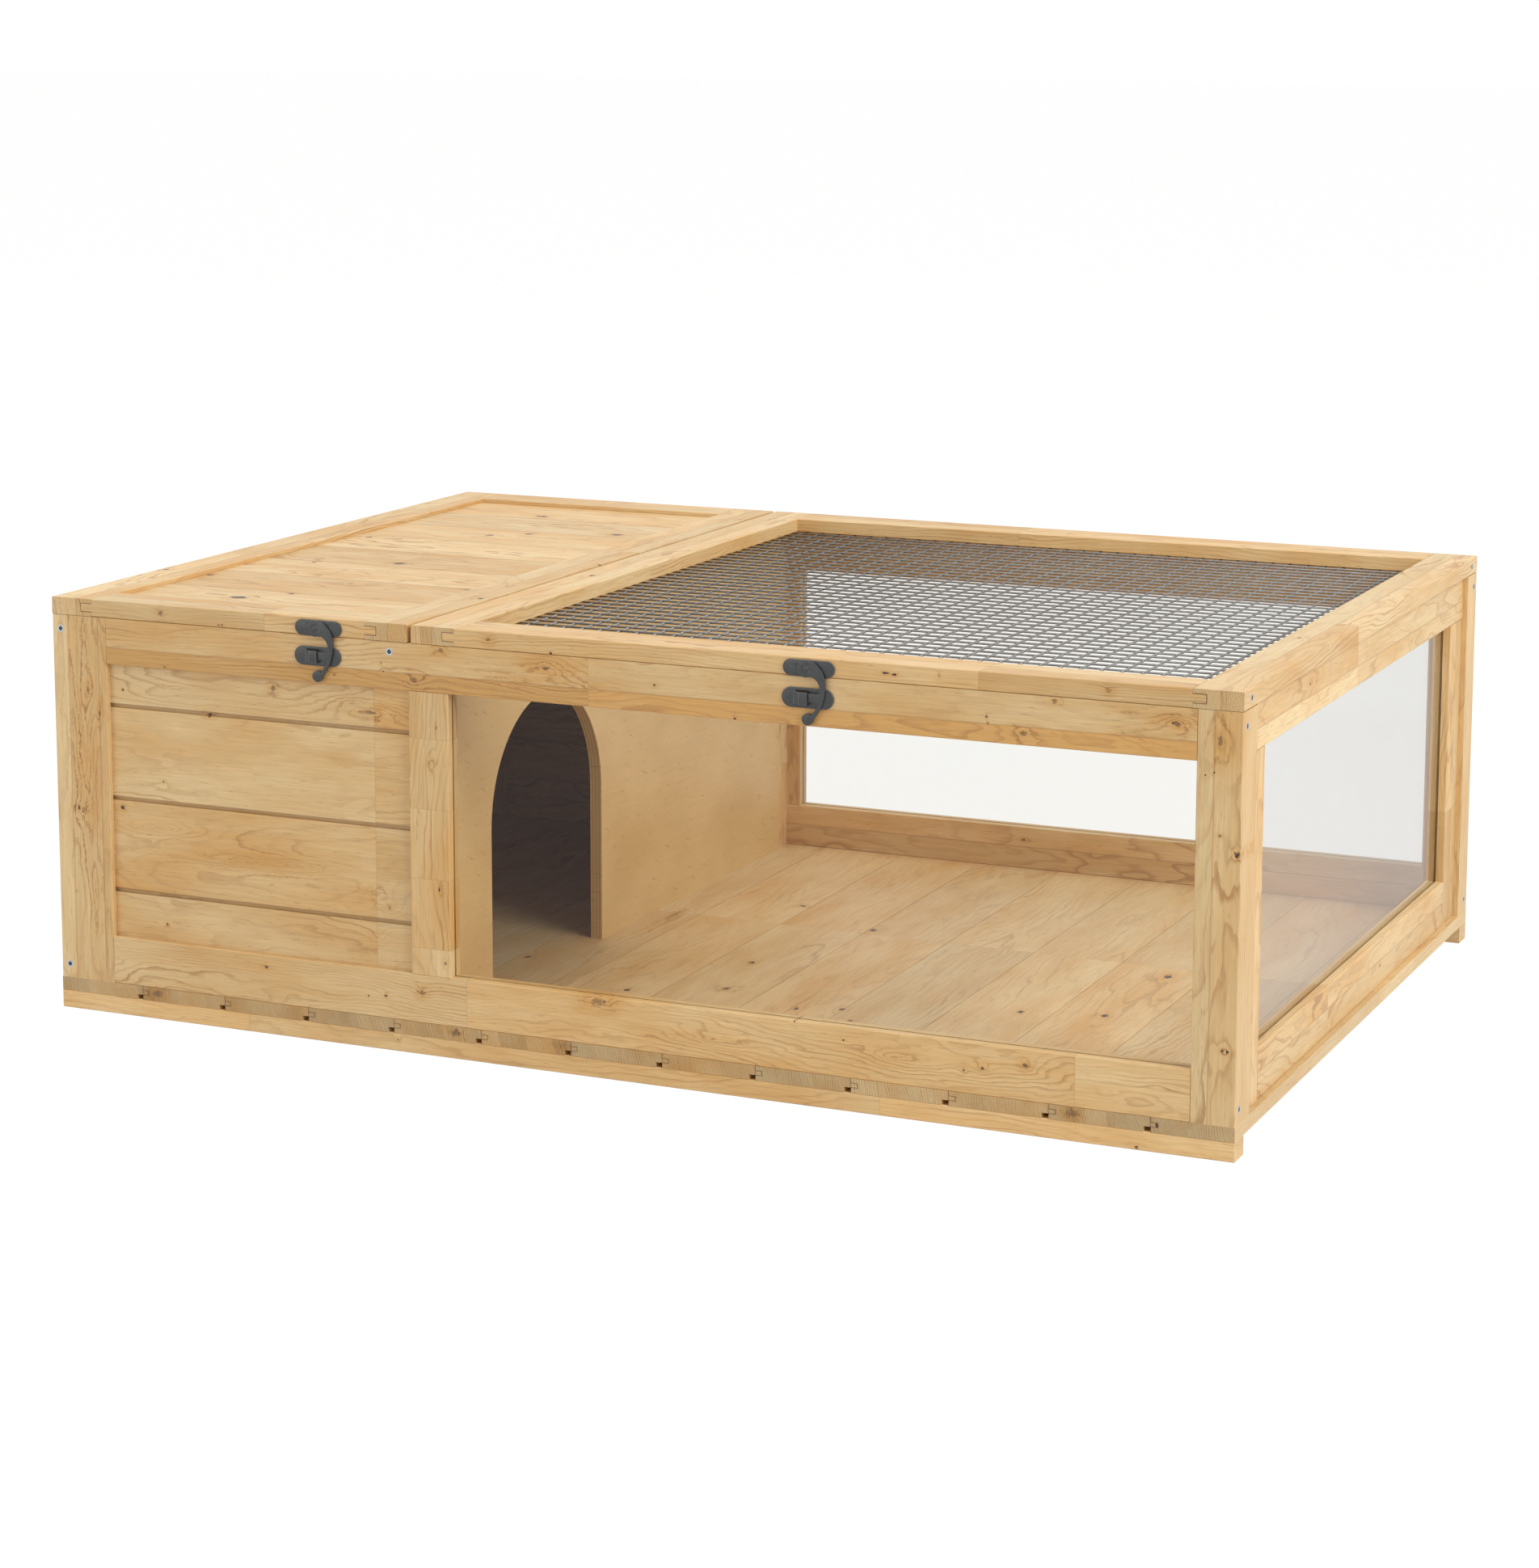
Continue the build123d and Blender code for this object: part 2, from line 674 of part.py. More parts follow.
def hinge_leaf(hinge_x, side):
    """Return one leaf with its knuckles: side 1 is the lid's, above the axis, and -1 the case's."""
    leaf_y = (case_depth, case_depth + hinge_leaf_thickness)
    edge = hinge_axis_z + side * hinge_leaf_relief
    end = hinge_axis_z + side * hinge_leaf_height
    across = centred(hinge_x, hinge_length)
    leaf = block(across, leaf_y, sorted((edge, end)))
    first = 1 if side == 1 else 0
    for span in knuckle_spans()[first::2]:
        low = hinge_x + span[0] + hinge_knuckle_gap / 2
        high = hinge_x + span[1] - hinge_knuckle_gap / 2
        leaf += block((low, high), leaf_y, sorted((hinge_axis_z, edge + side * overrun)))
        leaf += barrel((low, high), hinge_knuckle_radius, hinge_barrel_sides)
    bore_radius = hinge_pin_radius + hinge_running_clearance
    leaf -= barrel(centred(hinge_x, hinge_length + 2 * overrun), bore_radius, hinge_pin_sides, inner=True)
    for place in leaf_screw_places(hinge_x, side):
        leaf -= place * leaf_screw_hole()
    return leaf


def hinge_pin(hinge_x):
    """Return a hinge's pin, as long as its knuckles."""
    return barrel(centred(hinge_x, hinge_length), hinge_pin_radius, hinge_pin_sides)


def wood_screws(spots):
    """Return the timber screws of these places."""
    return [place * wood_screw(length) for place, length in spots]


def leaf_screws(hinges, side):
    """Return the screws of the leaves on one side of these hinges."""
    return [place * leaf_screw() for hinge_x in hinges for place in leaf_screw_places(hinge_x, side)]


def rivet_bore():
    """Return the rivet's hole through plate and hook, with its running clearance."""
    reach = rivet_head_height + hook_thickness + hook_clearance + latch_plate_thickness + overrun
    return Rot(X=90) * Cylinder(rivet_radius + hinge_running_clearance, 2 * reach)


def latch_plate(latch_x):
    """Return the upper plate of a latch, on the front edge of its lid."""
    plate = stadium(latch_plate_length, latch_plate_height, latch_plate_thickness)
    return Pos(latch_x, 0, latch_z) * (Pos(latch_plate_shift, 0, 0) * plate - rivet_bore())


def rivet(latch_x):
    """Return the rivet that the hook turns on, with its raised head."""
    shank = extrude(Plane.XZ * Circle(rivet_radius), -hook_face)
    cone = Rot(X=90) * Cone(rivet_head_radius, rivet_top_radius, rivet_head_height)
    head = Pos(0, hook_face - rivet_head_height / 2, 0) * cone
    return Pos(latch_x, 0, latch_z) * (shank + head)


def hook(latch_x):
    """Return the curved hook, which turns on the rivet and slips its tooth under the keeper's tab."""
    outer = [(across * hook_reach, up * hook_reach) for across, up in hook_outer_shares]
    inner = [(across * hook_reach, up * hook_reach) for across, up in hook_inner_shares]
    with BuildSketch() as outline:
        with BuildLine():
            ThreePointArc(*outer[:3])
            ThreePointArc(*outer[2:])
            Line(outer[-1], inner[0])
            ThreePointArc(*inner[:3])
            ThreePointArc(*inner[2:])
            Polyline(inner[-1], (0, 0), outer[0])
        make_face()
    shape = outline.sketch + Circle(hook_head_radius)
    shape += Pos(hook_pad_across, -hook_reach) * Circle(hook_pad_radius)
    tooth_size = (hook_tooth_root - hook_tooth_tip, hook_tooth_bottom - hook_tooth_top)
    tooth_middle = ((hook_tooth_root + hook_tooth_tip) / 2, -(hook_tooth_top + hook_tooth_bottom) / 2)
    shape += Pos(*tooth_middle) * Rectangle(*tooth_size)
    body = Pos(0, hook_back, 0) * extrude(Plane.XZ * shape, hook_thickness)
    return Pos(latch_x, 0, latch_z) * (body - rivet_bore())


def keeper(latch_x):
    """Return the lower plate of a latch with the tab that is cut from it and bent out to the right."""
    plate = Pos(keeper_shift, 0, 0) * stadium(keeper_length, keeper_height, latch_plate_thickness)
    slot_x = (-keeper_tab_root, keeper_tab_end + keeper_slot_margin)
    slot_z = centred(0, keeper_tab_height + 2 * keeper_slot_margin)
    plate -= block(slot_x, (-latch_plate_thickness - overrun, overrun), slot_z)
    ramp_end = -keeper_tab_root + keeper_tab_ramp
    profile = Polyline(
        (-keeper_tab_root - keeper_tab_thickness, 0),
        (-keeper_tab_root - keeper_tab_thickness, -latch_plate_thickness),
        (ramp_end - keeper_tab_thickness, keeper_tab_face),
        (keeper_tab_end, keeper_tab_face),
        (keeper_tab_end, keeper_tab_back),
        (ramp_end, keeper_tab_back),
        (-keeper_tab_root + keeper_tab_thickness, 0),
        close=True,
    )
    tab = extrude(make_face(profile), keeper_tab_height / 2, both=True)
    return Pos(latch_x, 0, keeper_z) * (plate + tab)


def write(name, pieces):
    """Write a node from one solid or a list of separate solids, moved to the origin."""
    solids = pieces if isinstance(pieces, list) else [pieces]
    placed = [to_origin * solid for solid in solids]
    shape = placed[0] if len(placed) == 1 else Compound(children=placed)
    export_step(shape, f"parts/{name}.step")


os.makedirs("parts", exist_ok=True)

# Base
write("front_runner", runner(0))
write("rear_runner", runner(case_depth - runner_width))
write("floor_boards", floor_boards())

# Front and back walls
house_bay = mid_post_left - left_post_width
for wall, front in (("front", 0), ("back", back_wall_front)):
    write(f"{wall}_left_post", left_post(front))
    write(f"{wall}_mid_post", mid_post(front))
    write(f"{wall}_bottom_rail", wall_bottom_rail(front))
    write(f"{wall}_pane", wall_pane(front))
write("front_top_rail", wall_top_rail(0))
write("back_top_rail", leaf_bored(wall_top_rail(back_wall_front), -1))
write("front_right_post", corner_post(0, front_corner_post_depth, 0))
write("back_right_post", corner_post(side_high, case_depth, back_wall_front))
board_inset = (frame_thickness + board_thickness) / 2
front_bay = Pos(left_post_width, board_inset, bottom_rail_top) * Rot(X=90)
write("front_siding", siding(house_bay, front_bay))
back_bay = Pos(mid_post_left, case_depth - board_inset, bottom_rail_top) * Rot(Z=180) * Rot(X=90)
write("back_siding", siding(house_bay, back_bay))

# Right wall, with its window
write("right_front_stile", right_stile(side_low, side_open_low, -1))
write("right_rear_stile", right_stile(side_open_high, side_open_high, 1))
write("right_top_rail", right_top_rail())
write("right_bottom_rail", right_bottom_rail())
write("right_pane", right_pane())

# Left wall, boarded
write("left_front_stile", left_stile(frame_thickness, left_open_low, -1))
write("left_rear_stile", left_stile(left_open_high, left_open_high, 1))
write("left_top_rail", left_rail(top_rail_bottom, wall_top, top_rail_bottom, -1))
write("left_bottom_rail", left_rail(floor_top, bottom_rail_top, bottom_rail_top, 1))
left_bay = Pos(board_inset, left_open_high, bottom_rail_top) * Rot(Z=-90) * Rot(X=90)
write("left_siding", siding(left_open_high - left_open_low, left_bay))

# Inside
write("partition", partition())
write("partition_batten", partition_batten())
write("cross_rail", cross_rail())

# Roof lid
for side, low, inner, outward in (
    ("left", 0, roof_inner_left, -1),
    ("right", roof_inner_right, roof_inner_right, 1),
):
    write(f"roof_{side}_stile", lid_stile(low, inner, outward, roof_grooves, roof_lid_screw_spots))
write("roof_front_rail", roof_front_rail())
write("roof_back_rail", roof_back_rail())
write("roof_boards", roof_boards())

# Mesh lid
mesh_left = lid_stile(mesh_lid_left, mesh_inner_left, -1, mesh_mortises, mesh_lid_screw_spots)
write("mesh_left_stile", rebated(mesh_left))
mesh_right = lid_stile(mesh_inner_right, mesh_inner_right, 1, mesh_mortises, mesh_lid_screw_spots)
write("mesh_right_stile", rebated(mesh_right))
write("mesh_front_rail", rebated(lid_rail(mesh_inner_left, mesh_inner_right, 0, mesh_lid_screw_spots)))
mesh_back = lid_rail(mesh_inner_left, mesh_inner_right, lid_back_inner, mesh_lid_screw_spots)
write("mesh_back_rail", rebated(leaf_bored(mesh_back, 1)))
write("wire_net", net())

# Hinges and screws
for lid, hinges, spots in (
    ("roof", roof_hinges, roof_lid_screw_spots),
    ("mesh", mesh_hinges, mesh_lid_screw_spots),
):
    write(f"{lid}_hinge_case_leaves", [hinge_leaf(hinge_x, -1) for hinge_x in hinges])
    write(f"{lid}_hinge_lid_leaves", [hinge_leaf(hinge_x, 1) for hinge_x in hinges])
    write(f"{lid}_hinge_pins", [hinge_pin(hinge_x) for hinge_x in hinges])
    write(f"{lid}_lid_screws", wood_screws(spots) + leaf_screws(hinges, 1))
write("case_screws", wood_screws(wall_screw_spots) + leaf_screws(roof_hinges + mesh_hinges, -1))

# Latches
for lid, latch_x in (("roof", roof_latch_x), ("mesh", mesh_latch_x)):
    write(f"{lid}_latch_plate", latch_plate(latch_x))
    write(f"{lid}_latch_rivet", rivet(latch_x))
    write(f"{lid}_latch_hook", hook(latch_x))
    write(f"{lid}_latch_keeper", keeper(latch_x))
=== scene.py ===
"""Looks of a low timber tortoise house with a boarded lid, a mesh lid and clear panes.

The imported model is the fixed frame. Sizes below are in millimetres and are measured as a maker
would: X from the left side, Y from the front face and Z from the ground.
"""

import logging
import math
from dataclasses import dataclass
from enum import Enum
from functools import cached_property

import bmesh
import bpy
from mathutils import Matrix, Vector


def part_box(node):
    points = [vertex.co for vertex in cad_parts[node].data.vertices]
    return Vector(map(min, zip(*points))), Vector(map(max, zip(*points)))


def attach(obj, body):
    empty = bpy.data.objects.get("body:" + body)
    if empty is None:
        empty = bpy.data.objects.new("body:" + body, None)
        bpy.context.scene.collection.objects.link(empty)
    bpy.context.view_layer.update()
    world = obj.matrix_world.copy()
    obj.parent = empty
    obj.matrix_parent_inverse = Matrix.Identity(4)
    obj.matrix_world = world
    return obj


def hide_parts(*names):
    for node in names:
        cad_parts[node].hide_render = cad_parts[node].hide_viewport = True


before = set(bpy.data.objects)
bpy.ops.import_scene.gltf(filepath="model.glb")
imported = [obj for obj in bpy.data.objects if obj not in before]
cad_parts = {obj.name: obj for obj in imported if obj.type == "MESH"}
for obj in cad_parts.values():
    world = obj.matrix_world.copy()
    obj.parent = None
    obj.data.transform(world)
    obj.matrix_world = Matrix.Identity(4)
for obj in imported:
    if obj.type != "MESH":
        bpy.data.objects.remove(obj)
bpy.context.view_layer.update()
log = logging.getLogger("tortoise_house")

MM = 0.001

# A length that runs right through the house, and a line that none of its faces reaches
ENDLESS = 9000.0
NOWHERE = -1000.0
# Planes before the front of every piece and behind its back
BEFORE_FRONT = -5.0
BEHIND_BACK = 700.0

# The Mix node takes two colours at its inputs 6 and 7, and gives their mix at its output 2
MIX_A = 6
MIX_B = 7
MIX_COLOURS = {"output": 2, "data_type": "RGBA"}

Socket = bpy.types.NodeSocket
Value = bpy.types.NodeSocket | float | tuple[float, ...]


def linear(colour: str) -> tuple[float, float, float, float]:
    """Turn a written colour into one that Blender can light.

    Args:
        colour: The colour as an sRGB hex value.

    Returns:
        Its linear red, green and blue, and its alpha.
    """
    levels = [int(colour[start:start + 2], 16) / 255 for start in (1, 3, 5)]
    red, green, blue = [
        level / 12.92 if level <= 0.04045 else ((level + 0.055) / 1.055) ** 2.4 for level in levels
    ]
    return red, green, blue, 1.0


@dataclass
class Graph:
    """A node tree while it is being made."""

    tree: bpy.types.NodeTree

    @classmethod
    def emptied(cls, owner: bpy.types.Material | bpy.types.World) -> "Graph":
        """Start the node tree of a new material or world.

        Args:
            owner: The material or the world.

        Returns:
            Its tree with no nodes.
        """
        owner.use_nodes = True
        owner.node_tree.nodes.clear()
        return cls(owner.node_tree)

    def add(
        self,
        kind: str,
        inputs: dict[int | str, Value] | None = None,
        output: int | str = 0,
        **settings: object,
    ) -> Socket | None:
        """Add a node with its settings, and set or link its inputs.

        Args:
            kind: The node's type, without its ShaderNode prefix.
            inputs: A value or another node's output for each input, by number or name.
            output: The output that is handed back.
            settings: Properties of the node.

        Returns:
            The chosen output socket, or None if the node has no outputs.
        """
        node = self.tree.nodes.new(kind if kind.startswith("Node") else f"ShaderNode{kind}")
        for name, setting in settings.items():
            setattr(node, name, setting)
        for key, value in (inputs or {}).items():
            if isinstance(value, bpy.types.NodeSocket):
                self.tree.links.new(value, node.inputs[key])
            else:
                node.inputs[key].default_value = value
        return node.outputs[output] if node.outputs else None

    def streaks(
        self,
        point: Socket,
        size: tuple[float, ...],
        detail: float,
        roughness: float = 0.5,
        output: int | str = 0,
    ) -> Socket:
        """Add cloudy marks of a real size.

        Args:
            point: The place that they are looked up at.
            size: Their length along the first axis and their width along the other two, or
                along each of these, in the unit of the point.
            detail: How many finer layers they have.
            roughness: How strong those layers are.
            output: The output that is handed back.

        Returns:
            The marks' strength or colour.
        """
        along, across, through = (*size, size[-1])[:3]
        scaled = self.add(
            "VectorMath", {0: point, 1: (1 / along, 1 / across, 1 / through)}, operation="MULTIPLY"
        )
        return self.add(
            "TexNoise", {"Vector": scaled, "Scale": 1.0, "Detail": detail, "Roughness": roughness}, output
        )

    def in_millimetres(self, place: Socket) -> Socket:
        """Turn Object coordinates into the maker's millimetres."""
        return self.add(
            "VectorMath", {0: place, 1: (1 / MM,) * 3, 2: tuple(-HOUSE.corner / MM)}, operation="MULTIPLY_ADD"
        )


def new_group(
    name: str, inputs: dict[str, str], outputs: dict[str, str]
) -> tuple[Graph, dict[str, Socket]]:
    """Start a node group.

    Args:
        name: The group's name.
        inputs: The kind of each input socket, such as Float or Vector.
        outputs: The kind of each output socket.

    Returns:
        The group's graph, and the sockets that its inputs arrive on.
    """
    tree = bpy.data.node_groups.new(name, "ShaderNodeTree")
    for direction, sockets in (("INPUT", inputs), ("OUTPUT", outputs)):
        for socket, kind in sockets.items():
            tree.interface.new_socket(socket, in_out=direction, socket_type=f"NodeSocket{kind}")
    graph = Graph(tree)
    entry = graph.add("NodeGroupInput").node
    return graph, {socket: entry.outputs[socket] for socket in inputs}


@dataclass(frozen=True)
class HouseFrame:
    """Where the house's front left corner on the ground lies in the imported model, in metres."""

    corner: Vector

    @classmethod
    def from_model(cls) -> "HouseFrame":
        """Read the corner from the left post, which has the left side and the front face."""
        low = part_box("front_left_post")[0]
        return cls(Vector((low.x, low.y, 0.0)))

    def point(self, x: float, y: float, z: float) -> Vector:
        """Turn a place in the maker's millimetres into the model's metres."""
        return self.corner + Vector((x, y, z)) * MM

    def millimetres(self, place: Vector) -> Vector:
        """Turn a place in the model into the maker's millimetres."""
        return (place - self.corner) / MM


HOUSE = HouseFrame.from_model()


class Grain(Enum):
    """How a piece of wood lies: the axes along its grain, across its face and through it."""

    X_UPRIGHT = ("X", "Z", "Y")
    X_FLAT = ("X", "Y", "Z")
    Y_UPRIGHT = ("Y", "Z", "X")
    Y_FLAT = ("Y", "X", "Z")
    Z_FRONT = ("Z", "X", "Y")
    Z_SIDE = ("Z", "Y", "X")


@dataclass(frozen=True)
class Knot:
    """A knot: its middle along the grain and across the face, and how it marks the wood.

    size is half the height of its dark heart and stretch how much longer that is along the
    grain. swirl is how far the rings are pushed aside round it, spread how many sizes away they
    settle again, and shade how brown they are until then. dark is the depth of the heart's tone.
    A knot goes through the whole piece unless it has a depth, round its place through the piece.
    """

    along: float
    across: float
    size: float = 1.2
    swirl: float = 4.0
    stretch: float = 1.5
    spread: float = 2.6
    shade: float = 0.35
    dark: float = 0.85
    through: float = 0.0
    depth: float = ENDLESS


@dataclass(frozen=True)
class Cut:
    """A cut whose low and high corners are given.

    It is a tongue whose outline shows at the ends of the wood, or a filled patch of painted shade
    behind a hole that lets little light in. shoulder is the X of the butted faces above and below a
    tongue, dark the depth of its lines' tone, and pitch the distance at which it comes again along X.
    """

    low: tuple[float, float, float]
    high: tuple[float, float, float]
    shoulder: float = NOWHERE
    dark: float = 0.85
    pitch: float = 0.0
    filled: bool = False


# Blocks and strips whose joints and glue lines lie past the ends and the edges of the piece
UNJOINTED = (-200.0, 900.0)
UNGLUED = (-30.0, 90.0)


@dataclass(frozen=True)
class Plank:
    """A piece or a row of boards, with the glue lines and knots that its faces show.

    blocks gives one finger joint's place along the grain and the distance between them, and
    strips gives one glue line's or seam's place across the face and the distance between them.
    lower is how much warmer the wood below the first glue line is, figure how strongly its rings
    show, ring the distance between them and seam how dark the glue lines are. middle is the
    plane, from face to face, of the reveals between its boards, which get a painted shade there,
    and end_tone the brightness of its end grain.
    """

    node: str
    grain: Grain
    seed: float
    blocks: tuple[float, float] = (0.0, 430.0)
    strips: tuple[float, float] = (0.0, 60.0)
    knots: tuple[Knot, ...] = ()
    tone: float = 1.0
    lower: float = 0.0
    figure: float = 1.0
    ring: float = 3.4
    seam: float = 0.3
    middle: float = NOWHERE
    end_tone: float = 0.93
    cuts: tuple[Cut, ...] = ()


@dataclass(frozen=True)
class FirBlock:
    """The glued block that a point of a plank lies in, while the point's colour is worked out.

    along, across and through are the point's place. block_turn and strip_turn count the blocks
    and the strips up to it, block_length and strip_width are their sizes, and from_seam is how
    far past the first glue line it lies. chances are random numbers that the whole block shares,
    and log_point is the place in a tree that it was cut from.
    """

    along: Socket
    across: Socket
    through: Socket
    block_turn: Socket
    block_length: Socket
    strip_turn: Socket
    strip_width: Socket
    from_seam: Socket
    chances: tuple[Socket, Socket, Socket, Socket]
    log_point: Socket


@dataclass(frozen=True)
class FingerJointedFir:
    """Planed fir, edge-glued from strips and finger-jointed from blocks, left unvarnished.

    The eye sees pale straw wood whose blocks differ a little in tone, thin brown late-wood
    lines that flow round the knots, and fine fibres. End grain shows close upright ring lines.

    log_reach is how far apart in the tree two blocks can come from. sways are the length and
    width of the bends in the rings, with their reach and detail, and unrest is how far the rings
    stray near a knot. end_ring is the distance between rings on end grain and end_strip the
    width of its paler and darker parts. Each other size is a length along the grain and a width
    across it.
    """

    pale: str = "#DFC18E"
    warm: str = "#CF9E5B"
    line: str = "#A87640"
    deep: str = "#8A592D"
    knot: str = "#432818"
    # The colour of the painted shade in the reveals between boards
    painted_reveal_shade: str = "#8C683C"
    roughness: float = 0.48
    bump: float = 0.12
    bump_depth: float = 0.3
    log_reach: float = 900.0
    pith_nearest: float = 22.0
    pith_range: float = 55.0
    sways: tuple[tuple[tuple[float, float], float, float], ...] = (
        ((230.0, 55.0), 34.0, 0.0), ((60.0, 18.0), 10.0, 1.0), ((19.0, 5.0), 2.8, 1.5),
    )
    unrest: float = 9.0
    unrest_size: tuple[float, float] = (15.0, 6.0)
    figure_size: tuple[float, float] = (150.0, 38.0)
    cloud_size: tuple[float, float] = (110.0, 30.0)
    fibre_size: tuple[float, float] = (42.0, 1.3)
    pore_size: tuple[float, float] = (11.0, 1.1)
    blotch_size: tuple[float, float] = (17.0, 3.2)
    ragged_size: tuple[float, float] = (3.4, 1.9)
    end_wave_size: tuple[float, float, float] = (math.inf, 9.0909, 20.0)
    end_ring: float = 1.9
    end_strip: float = 23.0
    joint_reach: float = 0.6
    joint_dark: float = 0.16
    seam_reach: float = 0.9

    @cached_property
    def groups(self) -> dict[str, bpy.types.NodeTree]:
        """Make the node groups that all planks share: of a knot, of a cut and of the wood."""
        return {"knot": self.knot_group(), "cut": self.outline_group(), "fir": self.wood_group()}

    def knot_group(self) -> bpy.types.NodeTree:
        """Make the group that finds how a knot bends the rings and darkens the wood round it.

        Returns:
            The group.
        """
        graph, given = new_group(
            "knot",
            {
                "Point": "Vector", "Middle": "Vector", "Reach": "Vector", "Swirl": "Float",
                "Spread": "Float", "Shade": "Float", "Dark": "Float",
            },
            {"Bulge": "Float", "Core": "Float", "Shade": "Float"},
        )
        offset = graph.add("VectorMath", {0: given["Point"], 1: given["Middle"]}, operation="SUBTRACT")
        ragged = graph.streaks(given["Point"], self.ragged_size, 2.5, output="Color")
        sway = graph.add("VectorMath", {0: ragged, 1: (1.9,) * 3, 2: (-0.95,) * 3}, operation="MULTIPLY_ADD")
        near = graph.add("VectorMath", {0: offset, 1: given["Reach"]}, operation="DIVIDE")
        near = graph.add("VectorMath", {0: near, 1: sway}, operation="ADD")
        away = graph.add("VectorMath", {0: near}, output="Value", operation="LENGTH")

        # The heart is dark out to its ragged rim, and the wood round it brown in blotches
        core = graph.add(
            "MapRange", {"Value": away, 1: 0.55, 2: 1.1, 3: 1.0, 4: 0.0}, interpolation_type="SMOOTHSTEP"
        )
        core = graph.add("Math", {0: core, 1: given["Dark"]}, operation="MULTIPLY")
        far = graph.add("Math", {0: given["Spread"], 1: 1.9}, operation="MULTIPLY")
        shade = graph.add(
            "MapRange", {"Value": away, 1: 0.5, 2: far, 3: 1.0, 4: 0.0}, interpolation_type="SMOOTHSTEP"
        )
        blotch = graph.streaks(given["Point"], self.blotch_size, 2.0)
        blotch = graph.add("MapRange", {"Value": blotch, 1: 0.35, 2: 0.65, 3: 0.35, 4: 1.15})
        shade = graph.add("Math", {0: shade, 1: blotch}, operation="MULTIPLY")
        shade = graph.add("Math", {0: shade, 1: given["Shade"]}, operation="MULTIPLY")

        # The push on the rings dies away like a hill's slope
        fall = graph.add("Math", {0: away, 1: given["Spread"]}, operation="DIVIDE")
        fall = graph.add("Math", {0: fall, 1: -1.0}, operation="MULTIPLY")
        hill = graph.add("Math", {0: math.e, 1: fall}, operation="POWER")
        bulge = graph.add("Math", {0: hill, 1: given["Swirl"]}, operation="MULTIPLY")
        graph.add("NodeGroupOutput", {"Bulge": bulge, "Core": core, "Shade": shade})
        return graph.tree

    def outline_group(self) -> bpy.types.NodeTree:
        """Make the group that finds the hairline gap round a tongue in its slot, or a patch of painted shade.

        Returns:
            The group.
        """
        graph, given = new_group(
            "cut",
            {
                "Point": "Vector", "Middle": "Vector", "Half": "Vector", "Shoulder": "Float", "Dark": "Float",
                "Filled": "Float",
            },
            {"Gap": "Float"},
        )
        offset = graph.add("VectorMath", {0: given["Point"], 1: given["Middle"]}, operation="SUBTRACT")
        offset = graph.add("VectorMath", {0: offset}, operation="ABSOLUTE")
        past = graph.add("VectorMath", {0: offset, 1: given["Half"]}, operation="SUBTRACT")
        outside = graph.add("VectorMath", {0: past, 1: (0.0,) * 3}, operation="MAXIMUM")
        outside = graph.add("VectorMath", {0: outside}, output="Value", operation="LENGTH")
        sides = graph.add("SeparateXYZ", {0: past}).node.outputs
        inside = graph.add("Math", {0: sides[0], 1: sides[1]}, operation="MAXIMUM")
        inside = graph.add("Math", {0: inside, 1: sides[2]}, operation="MAXIMUM")
        inside = graph.add("Math", {0: inside, 1: 0.0}, operation="MINIMUM")
        depth = graph.add("Math", {0: inside, 1: outside}, operation="ADD")

        # A tongue is dark on both sides of its outline, and a filled patch of painted shade all through
        flipped = graph.add("Math", {0: given["Filled"], 1: -1.0}, operation="ADD")
        flipped = graph.add("Math", {0: depth, 1: flipped}, operation="MULTIPLY")
        depth = graph.add("Math", {0: depth, 1: flipped}, operation="MAXIMUM")
        gap = graph.add("MapRange", {"Value": depth, 1: 0.3, 2: 0.75, 3: 1.0, 4: 0.0})

        # The shoulder's line stands above and below the tongue
        from_shoulder = graph.add("SeparateXYZ", {0: given["Point"]})
        from_shoulder = graph.add("Math", {0: from_shoulder, 1: given["Shoulder"]}, operation="SUBTRACT")
        from_shoulder = graph.add("Math", {0: from_shoulder}, operation="ABSOLUTE")
        beside = graph.add("MapRange", {"Value": from_shoulder, 1: 0.3, 2: 0.75, 3: 0.8, 4: 0.0})
        past_tongue = graph.add("Math", {0: sides[2], 1: 0.0}, operation="GREATER_THAN")
        beside = graph.add("Math", {0: beside, 1: past_tongue}, operation="MULTIPLY")
        gap = graph.add("Math", {0: gap, 1: beside}, operation="MAXIMUM")
        gap = graph.add("Math", {0: gap, 1: given["Dark"]}, operation="MULTIPLY")
        graph.add("NodeGroupOutput", {"Gap": gap})
        return graph.tree

    def wood_group(self) -> bpy.types.NodeTree:
        """Make the group that turns a point of the plank into the colour and height of the wood.

        Returns:
            The group.
        """
        graph, given = new_group(
            "fir",
            {
                "Point": "Vector", "Blocks": "Vector", "Strips": "Vector", "Seed": "Float",
                "Bulge": "Float", "Core": "Float", "Shade": "Float", "Tone": "Float", "Lower": "Float",
                "Figure": "Float", "Ring": "Float", "Seam": "Float", "Middle": "Float", "End": "Float",
                "End Tone": "Float", "Gap": "Float",
            },
            {"Color": "Color", "Height": "Float"},
        )
        block = self.find_block(graph, given)
        turns, lean = self.count_rings(graph, given, block)
        line = self.find_late_wood(graph, given, block, turns)
        wood = self.tint(graph, given, block, line)
        fibre = graph.streaks(block.log_point, self.fibre_size, 3.0, 0.6)
        wood = self.shade(graph, given, block, lean, fibre, wood)
        wood = self.mark(graph, given, block, wood)
        grooves = graph.add("Math", {0: fibre, 1: line}, operation="SUBTRACT")
        height = graph.add("Math", {0: grooves, 1: given["Core"]}, operation="SUBTRACT")
        graph.add("NodeGroupOutput", {"Color": wood, "Height": height})
        return graph.tree

